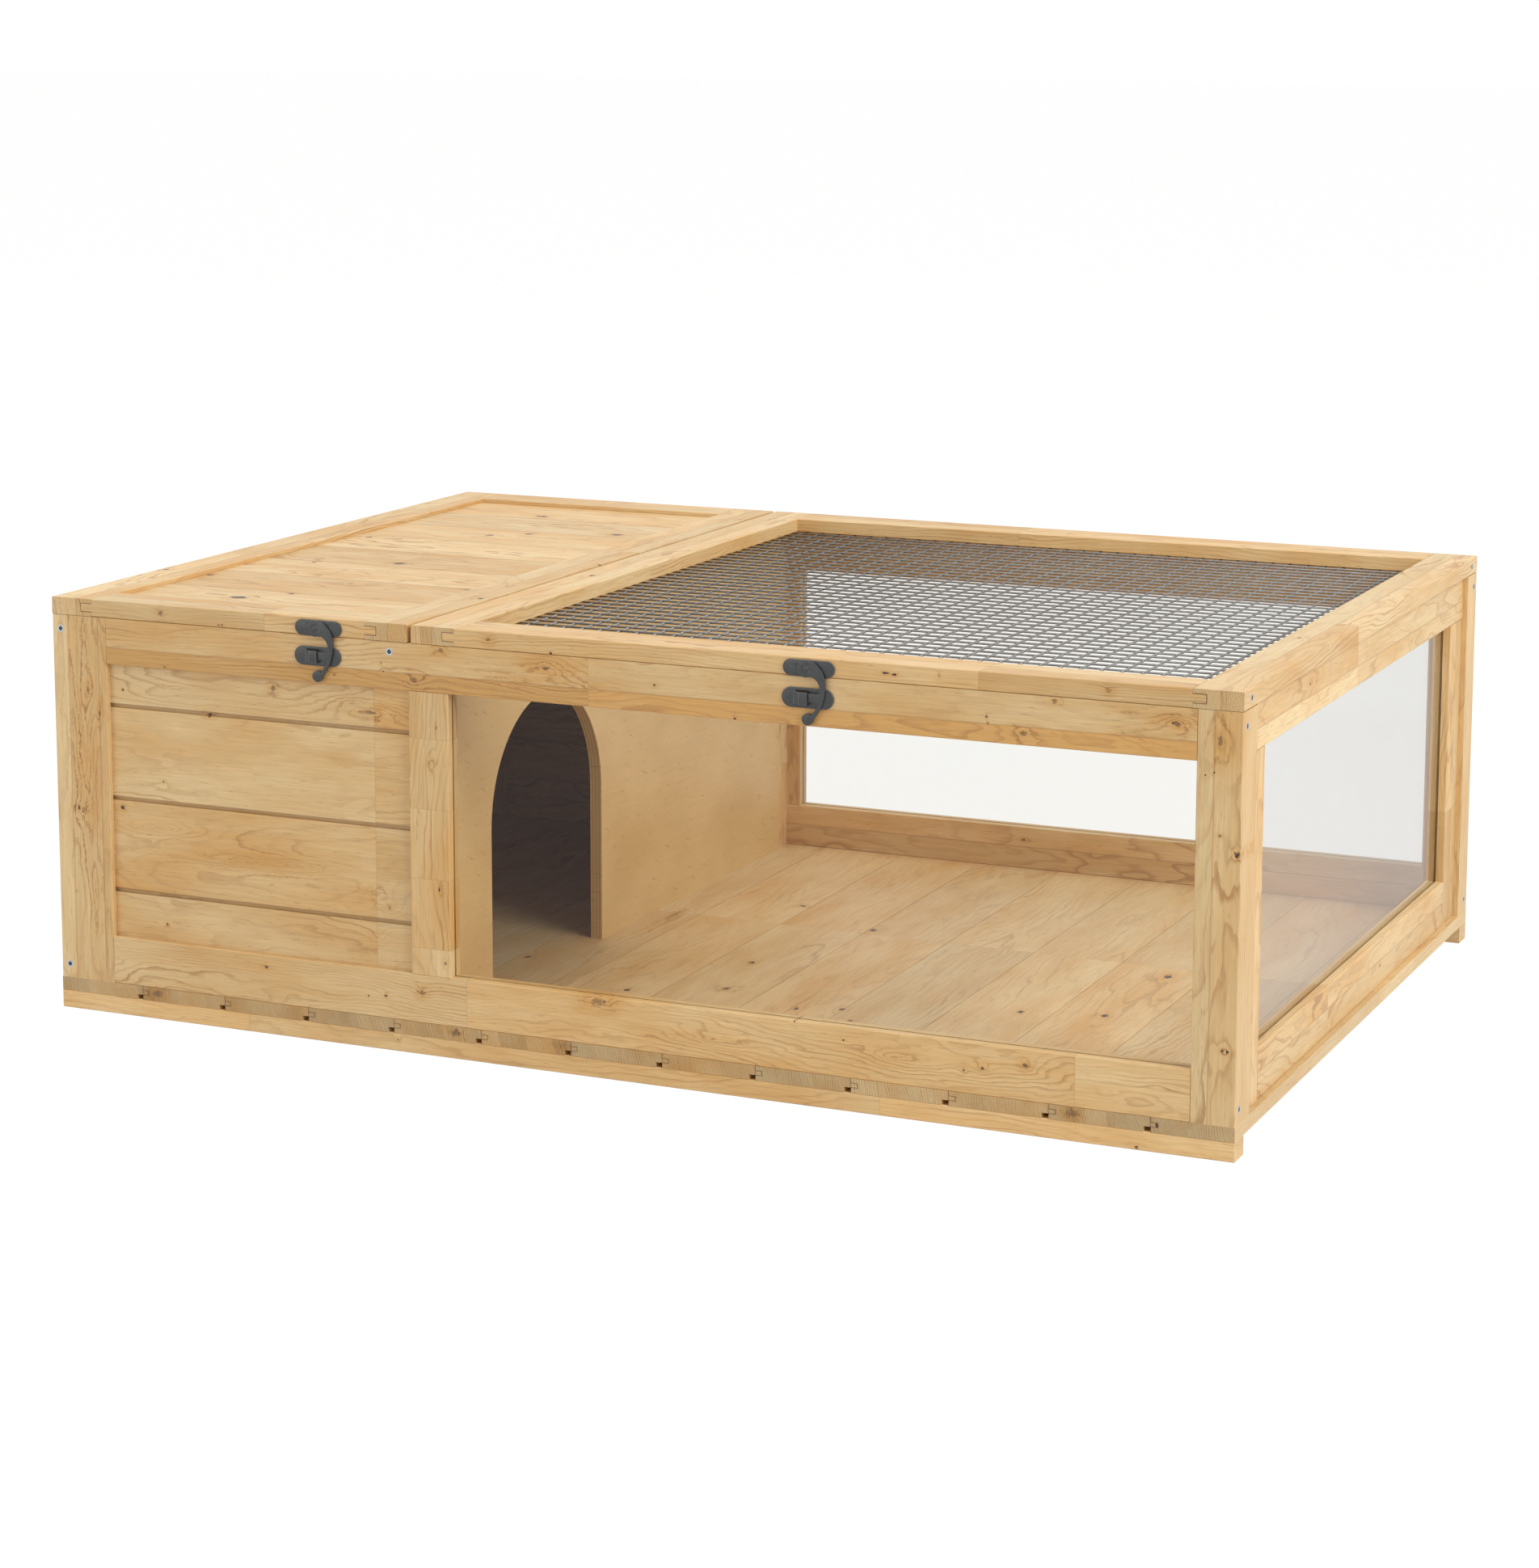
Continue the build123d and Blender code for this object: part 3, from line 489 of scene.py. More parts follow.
    def find_block(self, graph: Graph, given: dict[str, Socket]) -> FirBlock:
        """Find the block that the point lies in. Each is cut from another place of the tree.

        Args:
            graph: The wood's graph.
            given: The group's inputs.

        Returns:
            The block.
        """
        place = graph.add("SeparateXYZ", {0: given["Point"]}).node.outputs
        blocks = graph.add("SeparateXYZ", {0: given["Blocks"]}).node.outputs
        strips = graph.add("SeparateXYZ", {0: given["Strips"]}).node.outputs
        from_joint = graph.add("Math", {0: place[0], 1: blocks[0]}, operation="SUBTRACT")
        block_turn = graph.add("Math", {0: from_joint, 1: blocks[1]}, operation="DIVIDE")
        block = graph.add("Math", {0: block_turn}, operation="FLOOR")
        from_seam = graph.add("Math", {0: place[1], 1: strips[0]}, operation="SUBTRACT")
        strip_turn = graph.add("Math", {0: from_seam, 1: strips[1]}, operation="DIVIDE")
        strip = graph.add("Math", {0: strip_turn}, operation="FLOOR")
        cell = graph.add("CombineXYZ", {0: block, 1: strip, 2: given["Seed"]})
        dice = graph.add("TexWhiteNoise", {"Vector": cell}, noise_dimensions="3D").node.outputs
        chance = graph.add("SeparateColor", {0: dice["Color"]}).node.outputs
        shift = graph.add("VectorMath", {0: dice["Color"], 1: (self.log_reach,) * 3}, operation="MULTIPLY")
        return FirBlock(
            along=place[0],
            across=place[1],
            through=place[2],
            block_turn=block_turn,
            block_length=blocks[1],
            strip_turn=strip_turn,
            strip_width=strips[1],
            from_seam=from_seam,
            chances=(chance[0], chance[1], chance[2], dice["Value"]),
            log_point=graph.add("VectorMath", {0: given["Point"], 1: shift}, operation="ADD"),
        )

    def count_rings(self, graph: Graph, given: dict[str, Socket], block: FirBlock) -> tuple[Socket, Socket]:
        """Count the growth rings up to the point.

        Args:
            graph: The wood's graph.
            given: The group's inputs.
            block: The block that the point lies in.

        Returns:
            The count, and how far the upright rings of the end grain lie from the first.
        """
        # The rings stand round a pith that lies in front of the block
        strip_part = graph.add("Math", {0: block.strip_turn}, operation="FRACT")
        pith_part = graph.add("Math", {0: strip_part, 1: block.chances[0]}, operation="SUBTRACT")
        pith_across = graph.add("Math", {0: pith_part, 1: block.strip_width}, operation="MULTIPLY")
        pith_depth = graph.add(
            "Math", {0: block.chances[1], 1: self.pith_range, 2: self.pith_nearest}, operation="MULTIPLY_ADD"
        )
        pith_through = graph.add("Math", {0: block.through, 1: pith_depth}, operation="ADD")
        from_pith = graph.add("CombineXYZ", {0: pith_across, 1: pith_through})
        radius = graph.add("VectorMath", {0: from_pith}, output="Value", operation="LENGTH")
        for size, reach, detail in self.sways:
            wander = graph.streaks(block.log_point, size, detail)
            centred = graph.add("Math", {0: wander, 1: -0.5}, operation="ADD")
            radius = graph.add("Math", {0: centred, 1: reach, 2: radius}, operation="MULTIPLY_ADD")
        radius = graph.add("Math", {0: radius, 1: given["Bulge"]}, operation="ADD")
        wander = graph.streaks(block.log_point, self.unrest_size, 2.0)
        centred = graph.add("Math", {0: wander, 1: -0.5}, operation="ADD")
        unrest = graph.add("Math", {0: centred, 1: given["Shade"]}, operation="MULTIPLY")
        radius = graph.add("Math", {0: unrest, 1: self.unrest, 2: radius}, operation="MULTIPLY_ADD")
        turns = graph.add("Math", {0: radius, 1: given["Ring"]}, operation="DIVIDE")

        # On end grain the same rings stand upright and close together, and lean a little
        lean = graph.add("Math", {0: block.through, 1: 0.22, 2: block.across}, operation="MULTIPLY_ADD")
        lean = graph.add("Math", {0: block.chances[1], 1: 40.0, 2: lean}, operation="MULTIPLY_ADD")
        wander = graph.streaks(given["Point"], self.end_wave_size, 1.0)
        lean = graph.add("Math", {0: wander, 1: 5.0, 2: lean}, operation="MULTIPLY_ADD")
        close = graph.add("Math", {0: lean, 1: self.end_ring}, operation="DIVIDE")
        turns = graph.add("Mix", {0: given["End"], 2: turns, 3: close}, data_type="FLOAT")
        return turns, lean

    def find_late_wood(
        self, graph: Graph, given: dict[str, Socket], block: FirBlock, turns: Socket
    ) -> Socket:
        """Find how far the point lies in a brown line of late wood.

        Args:
            graph: The wood's graph.
            given: The group's inputs.
            block: The block that the point lies in.
            turns: The count of rings up to the point.

        Returns:
            The line's share of the colour.
        """
        ring = graph.add("Math", {0: turns}, operation="FLOOR")
        part = graph.add("Math", {0: turns}, operation="FRACT")
        boldness = graph.add("TexWhiteNoise", {"W": ring}, noise_dimensions="1D")
        bold = graph.add("MapRange", {"Value": boldness, 1: 0.0, 2: 1.0, 3: 0.3, 4: 1.0})
        rise = graph.add(
            "MapRange", {"Value": part, 1: 0.5, 2: 0.9, 3: 0.0, 4: 1.0}, interpolation_type="SMOOTHSTEP"
        )
        fall = graph.add(
            "MapRange", {"Value": part, 1: 0.9, 2: 1.0, 3: 1.0, 4: 0.0}, interpolation_type="SMOOTHSTEP"
        )
        late = graph.add("Math", {0: rise, 1: fall}, operation="MULTIPLY")
        late = graph.add("Math", {0: late, 1: bold}, operation="MULTIPLY")

        # The lines stand out in some stretches and round the knots, and are faint elsewhere
        patch = graph.streaks(block.log_point, self.figure_size, 1.0)
        shown = graph.add(
            "MapRange", {"Value": patch, 1: 0.38, 2: 0.66, 3: 0.2, 4: 0.8}, interpolation_type="SMOOTHSTEP"
        )
        shown = graph.add("Math", {0: given["Shade"], 1: 0.9, 2: shown}, operation="MULTIPLY_ADD")
        shown = graph.add("Math", {0: shown, 1: given["Figure"]}, operation="MULTIPLY")
        shown = graph.add("Math", {0: given["End"], 1: 0.3, 2: shown}, operation="MULTIPLY_ADD")
        return graph.add("Math", {0: late, 1: shown}, operation="MULTIPLY", use_clamp=True)

    def tint(self, graph: Graph, given: dict[str, Socket], block: FirBlock, line: Socket) -> Socket:
        """Give the wood its colour: broad clouds of warmer wood under the late-wood lines.

        Args:
            graph: The wood's graph.
            given: The group's inputs.
            block: The block that the point lies in.
            line: The late wood's share.

        Returns:
            The colour.
        """
        cloud = graph.streaks(block.log_point, self.cloud_size, 3.0, 0.55)
        cloud = graph.add("MapRange", {"Value": cloud, 1: 0.36, 2: 0.7, 3: 0.0, 4: 0.65})
        warmth = graph.add("Math", {0: block.chances[2], 1: 0.35, 2: cloud}, operation="MULTIPLY_ADD")
        below = graph.add("Math", {0: block.from_seam, 1: 0.0}, operation="LESS_THAN")
        warmth = graph.add("Math", {0: below, 1: given["Lower"], 2: warmth}, operation="MULTIPLY_ADD")
        warmth = graph.add(
            "Math", {0: given["Shade"], 1: 0.7, 2: warmth}, operation="MULTIPLY_ADD", use_clamp=True
        )
        wood = graph.add(
            "Mix", {0: warmth, MIX_A: linear(self.pale), MIX_B: linear(self.warm)}, **MIX_COLOURS
        )
        late = graph.add(
            "Mix", {0: given["Shade"], MIX_A: linear(self.line), MIX_B: linear(self.deep)}, **MIX_COLOURS
        )
        return graph.add("Mix", {0: line, MIX_A: wood, MIX_B: late}, **MIX_COLOURS)

    def shade(
        self,
        graph: Graph,
        given: dict[str, Socket],
        block: FirBlock,
        lean: Socket,
        fibre: Socket,
        wood: Socket,
    ) -> Socket:
        """Give the wood its pores, its fibres and its paler and darker blocks.

        Real fibres are finer than a millimetre. They are drawn a little coarser, to show.

        Args:
            graph: The wood's graph.
            given: The group's inputs.
            block: The block that the point lies in.
            lean: How far the upright rings of the end grain lie from the first.
            fibre: The fibres' pattern.
            wood: The colour so far.

        Returns:
            The colour.
        """
        streak = graph.add("MapRange", {"Value": fibre, 1: 0.3, 2: 0.7, 3: 0.9, 4: 1.07})
        pore = graph.streaks(block.log_point, self.pore_size, 1.0)
        pore = graph.add("MapRange", {"Value": pore, 1: 0.66, 2: 0.76, 3: 0.0, 4: 0.45})
        face_grain = graph.add("Math", {0: 1.0, 1: given["End"]}, operation="SUBTRACT")
        pore = graph.add("Math", {0: pore, 1: face_grain}, operation="MULTIPLY")
        wood = graph.add("Mix", {0: pore, MIX_A: wood, MIX_B: linear(self.line)}, **MIX_COLOURS)
        segment = graph.add("Math", {0: lean, 1: self.end_strip}, operation="DIVIDE")
        segment = graph.add("Math", {0: segment}, operation="FLOOR")
        segment = graph.add("TexWhiteNoise", {"W": segment}, noise_dimensions="1D")
        segment = graph.add("MapRange", {"Value": segment, 1: 0.0, 2: 1.0, 3: 0.88, 4: 1.08})
        segment = graph.add("Mix", {0: given["End"], 2: 1.0, 3: segment}, data_type="FLOAT")
        block_tone = graph.add("MapRange", {"Value": block.chances[3], 1: 0.0, 2: 1.0, 3: 0.91, 4: 1.06})
        end_tone = graph.add("Mix", {0: given["End"], 2: 1.0, 3: given["End Tone"]}, data_type="FLOAT")
        level = streak
        for part in (block_tone, segment, end_tone, given["Tone"]):
            level = graph.add("Math", {0: level, 1: part}, operation="MULTIPLY")
        return graph.add("VectorMath", {0: wood, "Scale": level}, operation="SCALE")

    def mark(self, graph: Graph, given: dict[str, Socket], block: FirBlock, wood: Socket) -> Socket:
        """Draw what breaks the wood's face: joints, seams, the painted shade of the reveals, the knots'
        hearts and gaps.

        Args:
            graph: The wood's graph.
            given: The group's inputs.
            block: The block that the point lies in.
            wood: The colour so far.

        Returns:
            The colour.
        """
        # Finger joints are fainter than the glue lines and seams
        lines = []
        for turn, pitch, reach, dark in (
            (block.block_turn, block.block_length, self.joint_reach, self.joint_dark),
            (block.strip_turn, block.strip_width, self.seam_reach, given["Seam"]),
        ):
            near = graph.add("Math", {0: turn, 1: 0.5}, operation="ADD")
            near = graph.add("Math", {0: near}, operation="FRACT")
            near = graph.add("Math", {0: near, 1: 0.5}, operation="SUBTRACT")
            near = graph.add("Math", {0: near}, operation="ABSOLUTE")
            near = graph.add("Math", {0: near, 1: pitch}, operation="MULTIPLY")
            near = graph.add("MapRange", {"Value": near, 1: reach / 4, 2: reach, 3: 1.0, 4: 0.0})
            lines.append(graph.add("Math", {0: near, 1: dark}, operation="MULTIPLY"))
        line = graph.add("Math", {0: lines[0], 1: lines[1]}, operation="MAXIMUM")

        # Painted shade: the reveals between boards, round the plank's middle from face to face, are darkened
        # as if in shadow
        painted_sunk_shade = graph.add("Math", {0: block.through, 1: given["Middle"]}, operation="SUBTRACT")
        painted_sunk_shade = graph.add("Math", {0: painted_sunk_shade}, operation="ABSOLUTE")
        painted_sunk_shade = graph.add("MapRange", {"Value": painted_sunk_shade, 1: 2.2, 2: 2.8, 3: 0.35, 4: 0.0})
        for share, colour in (
            (line, self.deep), (painted_sunk_shade, self.painted_reveal_shade), (given["Core"], self.knot), (given["Gap"], self.knot),
        ):
            wood = graph.add("Mix", {0: share, MIX_A: wood, MIX_B: linear(colour)}, **MIX_COLOURS)
        return wood

    def knot_marks(self, graph: Graph, point: Socket, knots: tuple[Knot, ...]) -> dict[str, Value]:
        """Add up what the knots do to a point.

        Args:
            graph: The material's graph.
            point: The point's place along, across and through the plank.
            knots: The plank's knots.

        Returns:
            How far the rings bulge there, the knots' hearts, and how brown the wood is.
        """
        marks: dict[str, Value] = {"Bulge": 0.0, "Core": 0.0, "Shade": 0.0}
        for knot in knots:
            bend = graph.add(
                "Group",
                {
                    "Point": point, "Middle": (knot.along, knot.across, knot.through),
                    "Reach": (knot.size * knot.stretch, knot.size, knot.depth),
                    "Swirl": knot.swirl, "Spread": knot.spread, "Shade": knot.shade, "Dark": knot.dark,
                },
                node_tree=self.groups["knot"],
            ).node.outputs
            for name, joining in (("Bulge", "ADD"), ("Core", "MAXIMUM"), ("Shade", "MAXIMUM")):
                marks[name] = graph.add("Math", {0: marks[name], 1: bend[name]}, operation=joining)
        return marks

    def cut_gaps(self, graph: Graph, house: Socket, end: Socket, cuts: tuple[Cut, ...]) -> Value:
        """Find the dark gaps of the plank's cuts.

        Args:
            graph: The material's graph.
            house: The point's place in the house.
            end: 1 where the point lies on end grain.
            cuts: The plank's cuts.

        Returns:
            The gaps' share of the colour.
        """
        gap: Value = 0.0
        for cut in cuts:
            low, high = Vector(cut.low), Vector(cut.high)
            place = house
            if cut.pitch:
                first = cut.shoulder - cut.pitch / 2
                place = graph.add(
                    "VectorMath",
                    {0: house, 1: (first + cut.pitch, ENDLESS, ENDLESS), 2: (first, -ENDLESS, -ENDLESS)},
                    operation="WRAP",
                )
            shown = graph.add(
                "Group",
                {
                    "Point": place, "Middle": tuple((low + high) / 2), "Half": tuple((high - low) / 2),
                    "Shoulder": cut.shoulder, "Dark": cut.dark, "Filled": float(cut.filled),
                },
                node_tree=self.groups["cut"],
            )
            if not cut.filled:
                shown = graph.add("Math", {0: shown, 1: end}, operation="MULTIPLY")
            if cut.pitch:
                from_left = graph.add("SeparateXYZ", {0: house})
                past_edge = graph.add("Math", {0: from_left, 1: cut.pitch / 2}, operation="GREATER_THAN")
                shown = graph.add("Math", {0: shown, 1: past_edge}, operation="MULTIPLY")
            gap = graph.add("Math", {0: gap, 1: shown}, operation="MAXIMUM")
        return gap

    def material(self, plank: Plank) -> bpy.types.Material:
        """Make a plank's material.

        Args:
            plank: The piece, with its glue lines and knots.

        Returns:
            The material.
        """
        material = bpy.data.materials.new(f"fir_{plank.node}")
        graph = Graph.emptied(material)
        space = graph.add("TexCoord", output="Object").node.outputs
        house = graph.in_millimetres(space["Object"])
        split = graph.add("SeparateXYZ", {0: house}).node.outputs
        along, across, through = plank.grain.value
        point = graph.add("CombineXYZ", {0: split[along], 1: split[across], 2: split[through]})
        facing = graph.add("SeparateXYZ", {0: space["Normal"]}, output=along)
        facing = graph.add("Math", {0: facing}, operation="ABSOLUTE")
        end = graph.add("Math", {0: facing, 1: 0.8}, operation="GREATER_THAN")
        wood = graph.add(
            "Group",
            {
                "Point": point, "Blocks": (*plank.blocks, 0.0), "Strips": (*plank.strips, 0.0),
                "Seed": plank.seed, "Tone": plank.tone, "Lower": plank.lower, "Figure": plank.figure,
                "Ring": plank.ring, "Seam": plank.seam, "Middle": plank.middle, "End": end,
                "End Tone": plank.end_tone, "Gap": self.cut_gaps(graph, house, end, plank.cuts),
                **self.knot_marks(graph, point, plank.knots),
            },
            node_tree=self.groups["fir"],
        ).node.outputs
        relief = graph.add(
            "Bump", {"Height": wood["Height"], "Strength": self.bump, "Distance": self.bump_depth * MM}
        )
        shader = graph.add(
            "BsdfPrincipled", {"Base Color": wood["Color"], "Roughness": self.roughness, "Normal": relief}
        )
        graph.add("OutputMaterial", {"Surface": shader})
        return material


FIR = FingerJointedFir()


@dataclass(frozen=True)
class BirchPlywood:
    """Sanded birch plywood with rotary-cut faces.

    The eye sees an even pale face with short slanting flecks, and thin brown plies at its edges.
    Each size of a mark is its length through the panel, from front to back and upwards.
    """

    face: str = "#DDBA7F"
    shade: str = "#D2AC6E"
    fleck: str = "#AE8248"
    ply: str = "#9A7040"
    roughness: float = 0.45
    bump: float = 0.1
    bump_depth: float = 0.2
    plies: float = 7.0
    fleck_slant: float = 24.0
    fleck_size: tuple[float, float, float] = (33.333, 17.0, 2.4)
    cloud_size: tuple[float, float, float] = (100.0, 90.0, 60.0)
    fibre_size: tuple[float, float, float] = (5.0, 28.0, 1.6)

    def face_colour(self, graph: Graph, house: Socket, fibres: Socket) -> Socket:
        """Give the veneer its clouds, flecks and fibres.

        Args:
            graph: The material's graph.
            house: The point's place in the house.
            fibres: The fibres' pattern.

        Returns:
            The colour.
        """
        leaning = graph.add(
            "Mapping", {"Vector": house, "Rotation": (math.radians(self.fleck_slant), 0.0, 0.0)},
            vector_type="POINT",
        )
        flecks = graph.streaks(leaning, self.fleck_size, 2.0)
        fleck = graph.add(
            "MapRange", {"Value": flecks, 1: 0.63, 2: 0.74, 3: 0.0, 4: 0.6}, interpolation_type="SMOOTHSTEP"
        )
        clouds = graph.streaks(house, self.cloud_size, 3.0)
        cloud = graph.add("MapRange", {"Value": clouds, 1: 0.35, 2: 0.7, 3: 0.0, 4: 1.0})
        fibre = graph.add("MapRange", {"Value": fibres, 1: 0.3, 2: 0.7, 3: 0.96, 4: 1.03})
        face = graph.add(
            "Mix", {0: cloud, MIX_A: linear(self.face), MIX_B: linear(self.shade)}, **MIX_COLOURS
        )
        face = graph.add("Mix", {0: fleck, MIX_A: face, MIX_B: linear(self.fleck)}, **MIX_COLOURS)
        return graph.add("VectorMath", {0: face, "Scale": fibre}, operation="SCALE")

    def material(self, thickness: float, left: float) -> bpy.types.Material:
        """Make the panel's material.

        Args:
            thickness: The panel's thickness in millimetres.
            left: The X of its left face in millimetres.

        Returns:
            The material.
        """
        material = bpy.data.materials.new("birch_plywood")
        graph = Graph.emptied(material)
        space = graph.add("TexCoord", output="Object").node.outputs
        house = graph.in_millimetres(space["Object"])
        fibres = graph.streaks(house, self.fibre_size, 2.0)
        face = self.face_colour(graph, house, fibres)

        # Every other ply is dark where a cut shows them
        through = graph.add("SeparateXYZ", {0: house})
        turn = graph.add("Math", {0: through, 1: -left}, operation="ADD")
        turn = graph.add("Math", {0: turn, 1: self.plies / thickness}, operation="MULTIPLY")
        ply = graph.add("Math", {0: turn, 1: 2.0}, operation="MODULO")
        ply = graph.add("Math", {0: ply, 1: 1.0}, operation="GREATER_THAN")
        facing = graph.add("SeparateXYZ", {0: space["Normal"]})
        facing = graph.add("Math", {0: facing}, operation="ABSOLUTE")
        edge = graph.add("Math", {0: facing, 1: 0.5}, operation="LESS_THAN")
        share = graph.add("Math", {0: ply, 1: 0.4, 2: 0.05}, operation="MULTIPLY_ADD")
        share = graph.add("Math", {0: edge, 1: share}, operation="MULTIPLY")
        colour = graph.add("Mix", {0: share, MIX_A: face, MIX_B: linear(self.ply)}, **MIX_COLOURS)
        relief = graph.add(
            "Bump", {"Height": fibres, "Strength": self.bump, "Distance": self.bump_depth * MM}
        )
        shader = graph.add(
            "BsdfPrincipled", {"Base Color": colour, "Roughness": self.roughness, "Normal": relief}
        )
        graph.add("OutputMaterial", {"Surface": shader})
        return material


@dataclass(frozen=True)
class ClearAcrylic:
    """Clear cast acrylic sheet, cut and polished.

    The eye sees straight through it, and at a slant through a milky veil of reflected light.
    head_on is the share of light that it mirrors head-on, and slant_power how late that share
    grows towards a slant. wipes counts the marks of wiping in a metre, and rough is the least
    and the most that they dull the mirrored light.
    """

    clear: str = "#FDFDFC"
    tint: str = "#C4C2C1"
    head_on: float = 0.026
    slant_power: float = 5.0
    wipes: tuple[float, float, float] = (9.0, 9.0, 26.0)
    rough: tuple[float, float] = (0.05, 0.14)

    def material(self) -> bpy.types.Material:
        """Make the material: clear, with a mirrored share that grows from head-on to a slant.

        Returns:
            The material.
        """
        material = bpy.data.materials.new("clear_acrylic")
        graph = Graph.emptied(material)
        space = graph.add("TexCoord", output="Object")
        wiped = graph.add("VectorMath", {0: space, 1: self.wipes}, operation="MULTIPLY")
        smear = graph.add("TexNoise", {"Vector": wiped, "Scale": 1.0, "Detail": 2.0})
        dulling = graph.add("MapRange", {"Value": smear, 1: 0.3, 2: 0.8, 3: self.rough[0], 4: self.rough[1]})
        mirror = graph.add(
            "BsdfPrincipled", {"Base Color": linear(self.tint), "Metallic": 1.0, "Roughness": dulling}
        )
        clear = graph.add("BsdfTransparent", {"Color": linear(self.clear)})
        facing = graph.add("LayerWeight", {"Blend": 0.5}, output="Facing")
        slant = graph.add("Math", {0: facing, 1: self.slant_power}, operation="POWER")
        share = graph.add(
            "Math", {0: slant, 1: 1.0 - self.head_on, 2: self.head_on}, operation="MULTIPLY_ADD"
        )

        # Shadow rays pass it unweakened, so that the light reaches the wood behind it
        shadow = graph.add("LightPath", output="Is Shadow Ray")
        lit = graph.add("Math", {0: 1.0, 1: shadow}, operation="SUBTRACT")
        share = graph.add("Math", {0: share, 1: lit}, operation="MULTIPLY")
        shader = graph.add("MixShader", {0: share, 1: clear, 2: mirror})
        graph.add("OutputMaterial", {"Surface": shader})
        return material


@dataclass(frozen=True)
class Metal:
    """A metal or painted-metal finish with fine grain and slightly worn, paler high spots.

    grain is the size of its mottling in millimetres, and spread how far its roughness strays.
    """

    name: str
    colour: str
    wear_and_highlight: str
    metallic: float
    roughness: float
    grain: float
    spread: float = 0.06
    bump: float = 0.15
    bump_depth: float = 0.05

    def material(self) -> bpy.types.Material:
        """Make the material.

        Returns:
            The material.
        """
        material = bpy.data.materials.new(self.name)
        graph = Graph.emptied(material)
        space = graph.add("TexCoord", output="Object")
        mottle = graph.streaks(space, (self.grain * MM,) * 3, 3.0, 0.6)
        wear_and_highlight = graph.add("MapRange", {"Value": mottle, 1: 0.45, 2: 0.75, 3: 0.0, 4: 1.0})
        colour = graph.add(
            "Mix", {0: wear_and_highlight, MIX_A: linear(self.colour), MIX_B: linear(self.wear_and_highlight)}, **MIX_COLOURS
        )
        low, high = self.roughness - self.spread, self.roughness + self.spread
        dull = graph.add("MapRange", {"Value": mottle, 1: 0.3, 2: 0.7, 3: low, 4: high})
        relief = graph.add(
            "Bump", {"Height": mottle, "Strength": self.bump, "Distance": self.bump_depth * MM}
        )
        shader = graph.add(
            "BsdfPrincipled",
            {"Base Color": colour, "Roughness": dull, "Metallic": self.metallic, "Normal": relief},
        )
        graph.add("OutputMaterial", {"Surface": shader})
        return material


# Steel, pressed and coated with a dark grey baked enamel, which is even and half-dull
LATCH_ENAMEL = Metal("baked_enamel", "#363738", "#424344", 0.0, 0.38, 2.0)
# The same enamel, lighter and glossier, on the rounded edges as a painted highlight
EDGE_HIGHLIGHT_ENAMEL = Metal("edge_highlight_enamel", "#5C5E60", "#6C6E70", 0.3, 0.28, 1.2)
# Zinc-plated steel, which is bluish and bright with a cloudy mottle
BRIGHT_ZINC = Metal("bright_zinc", "#B0B4B8", "#C6C9CC", 0.85, 0.42, 1.4)
# The same plating in the screws' stamped crosses, darker as a painted shade and duller where the polish
# doesn't reach
RECESS_SHADE_ZINC = Metal("recess_shade_zinc", "#7E858B", "#8E959B", 0.2, 0.6, 1.4)
# Hot-dipped welded wire, which has weathered to a dull grey
GALVANISED_WIRE = Metal("galvanised_wire", "#7C7974", "#989590", 0.6, 0.5, 3.0)

# Corners closer than this are one, in metres, and edges flatter or sharper than these angles
# are none or get eased
CAD_WELD = 0.002 * MM
SAME_PLACE = 0.01 * MM
FLAT_EDGE = math.radians(1.0)
SHARP_EDGE = math.radians(30.0)


def give_material(node: str, material: bpy.types.Material) -> None:
    """Put one material on every slot of a CAD node, or on its first if it has none.

    Args:
        node: The node's name.
        material: The material.
    """
    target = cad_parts[node]
    if not target.material_slots:
        target.data.materials.append(material)
    for slot in target.material_slots:
        slot.material = material


def finished_object(mesh: bmesh.types.BMesh, name: str, *materials: bpy.types.Material) -> bpy.types.Object:
    """Turn a bmesh into a linked object with its materials, and free the bmesh.

    Args:
        mesh: The finished bmesh, in the model's metres.
        name: The object's name.
        materials: Its materials in the order of their slots.

    Returns:
        The object.
    """
    data = bpy.data.meshes.new(name)
    mesh.to_mesh(data)
    mesh.free()
    piece = bpy.data.objects.new(name, data)
    bpy.context.scene.collection.objects.link(piece)
    for material in materials:
        data.materials.append(material)
    return piece


def merged_copy(node: str) -> bmesh.types.BMesh:
    """Copy a CAD node, with its loose triangles joined up.

    Args:
        node: The node's name.

    Returns:
        The copy.
    """
    mesh = bmesh.new()
    mesh.from_mesh(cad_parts[node].data)
    bmesh.ops.remove_doubles(mesh, verts=mesh.verts, dist=CAD_WELD)
    bmesh.ops.dissolve_limit(
        mesh, angle_limit=FLAT_EDGE, verts=mesh.verts, edges=mesh.edges, use_dissolve_boundaries=False
    )
    return mesh


def islands(mesh: bmesh.types.BMesh) -> list[list[Vector]]:
    """Find the separate solids in a mesh.

    Args:
        mesh: The mesh.

    Returns:
        The corner points of each solid, in the order of the mesh.
    """
    groups = []
    seen = set()
    for start in mesh.verts:
        if start in seen:
            continue
        seen.add(start)
        group = [start]
        for corner in group:
            for edge in corner.link_edges:
                other = edge.other_vert(corner)
                if other not in seen:
                    seen.add(other)
                    group.append(other)
        groups.append([corner.co.copy() for corner in group])
    return groups


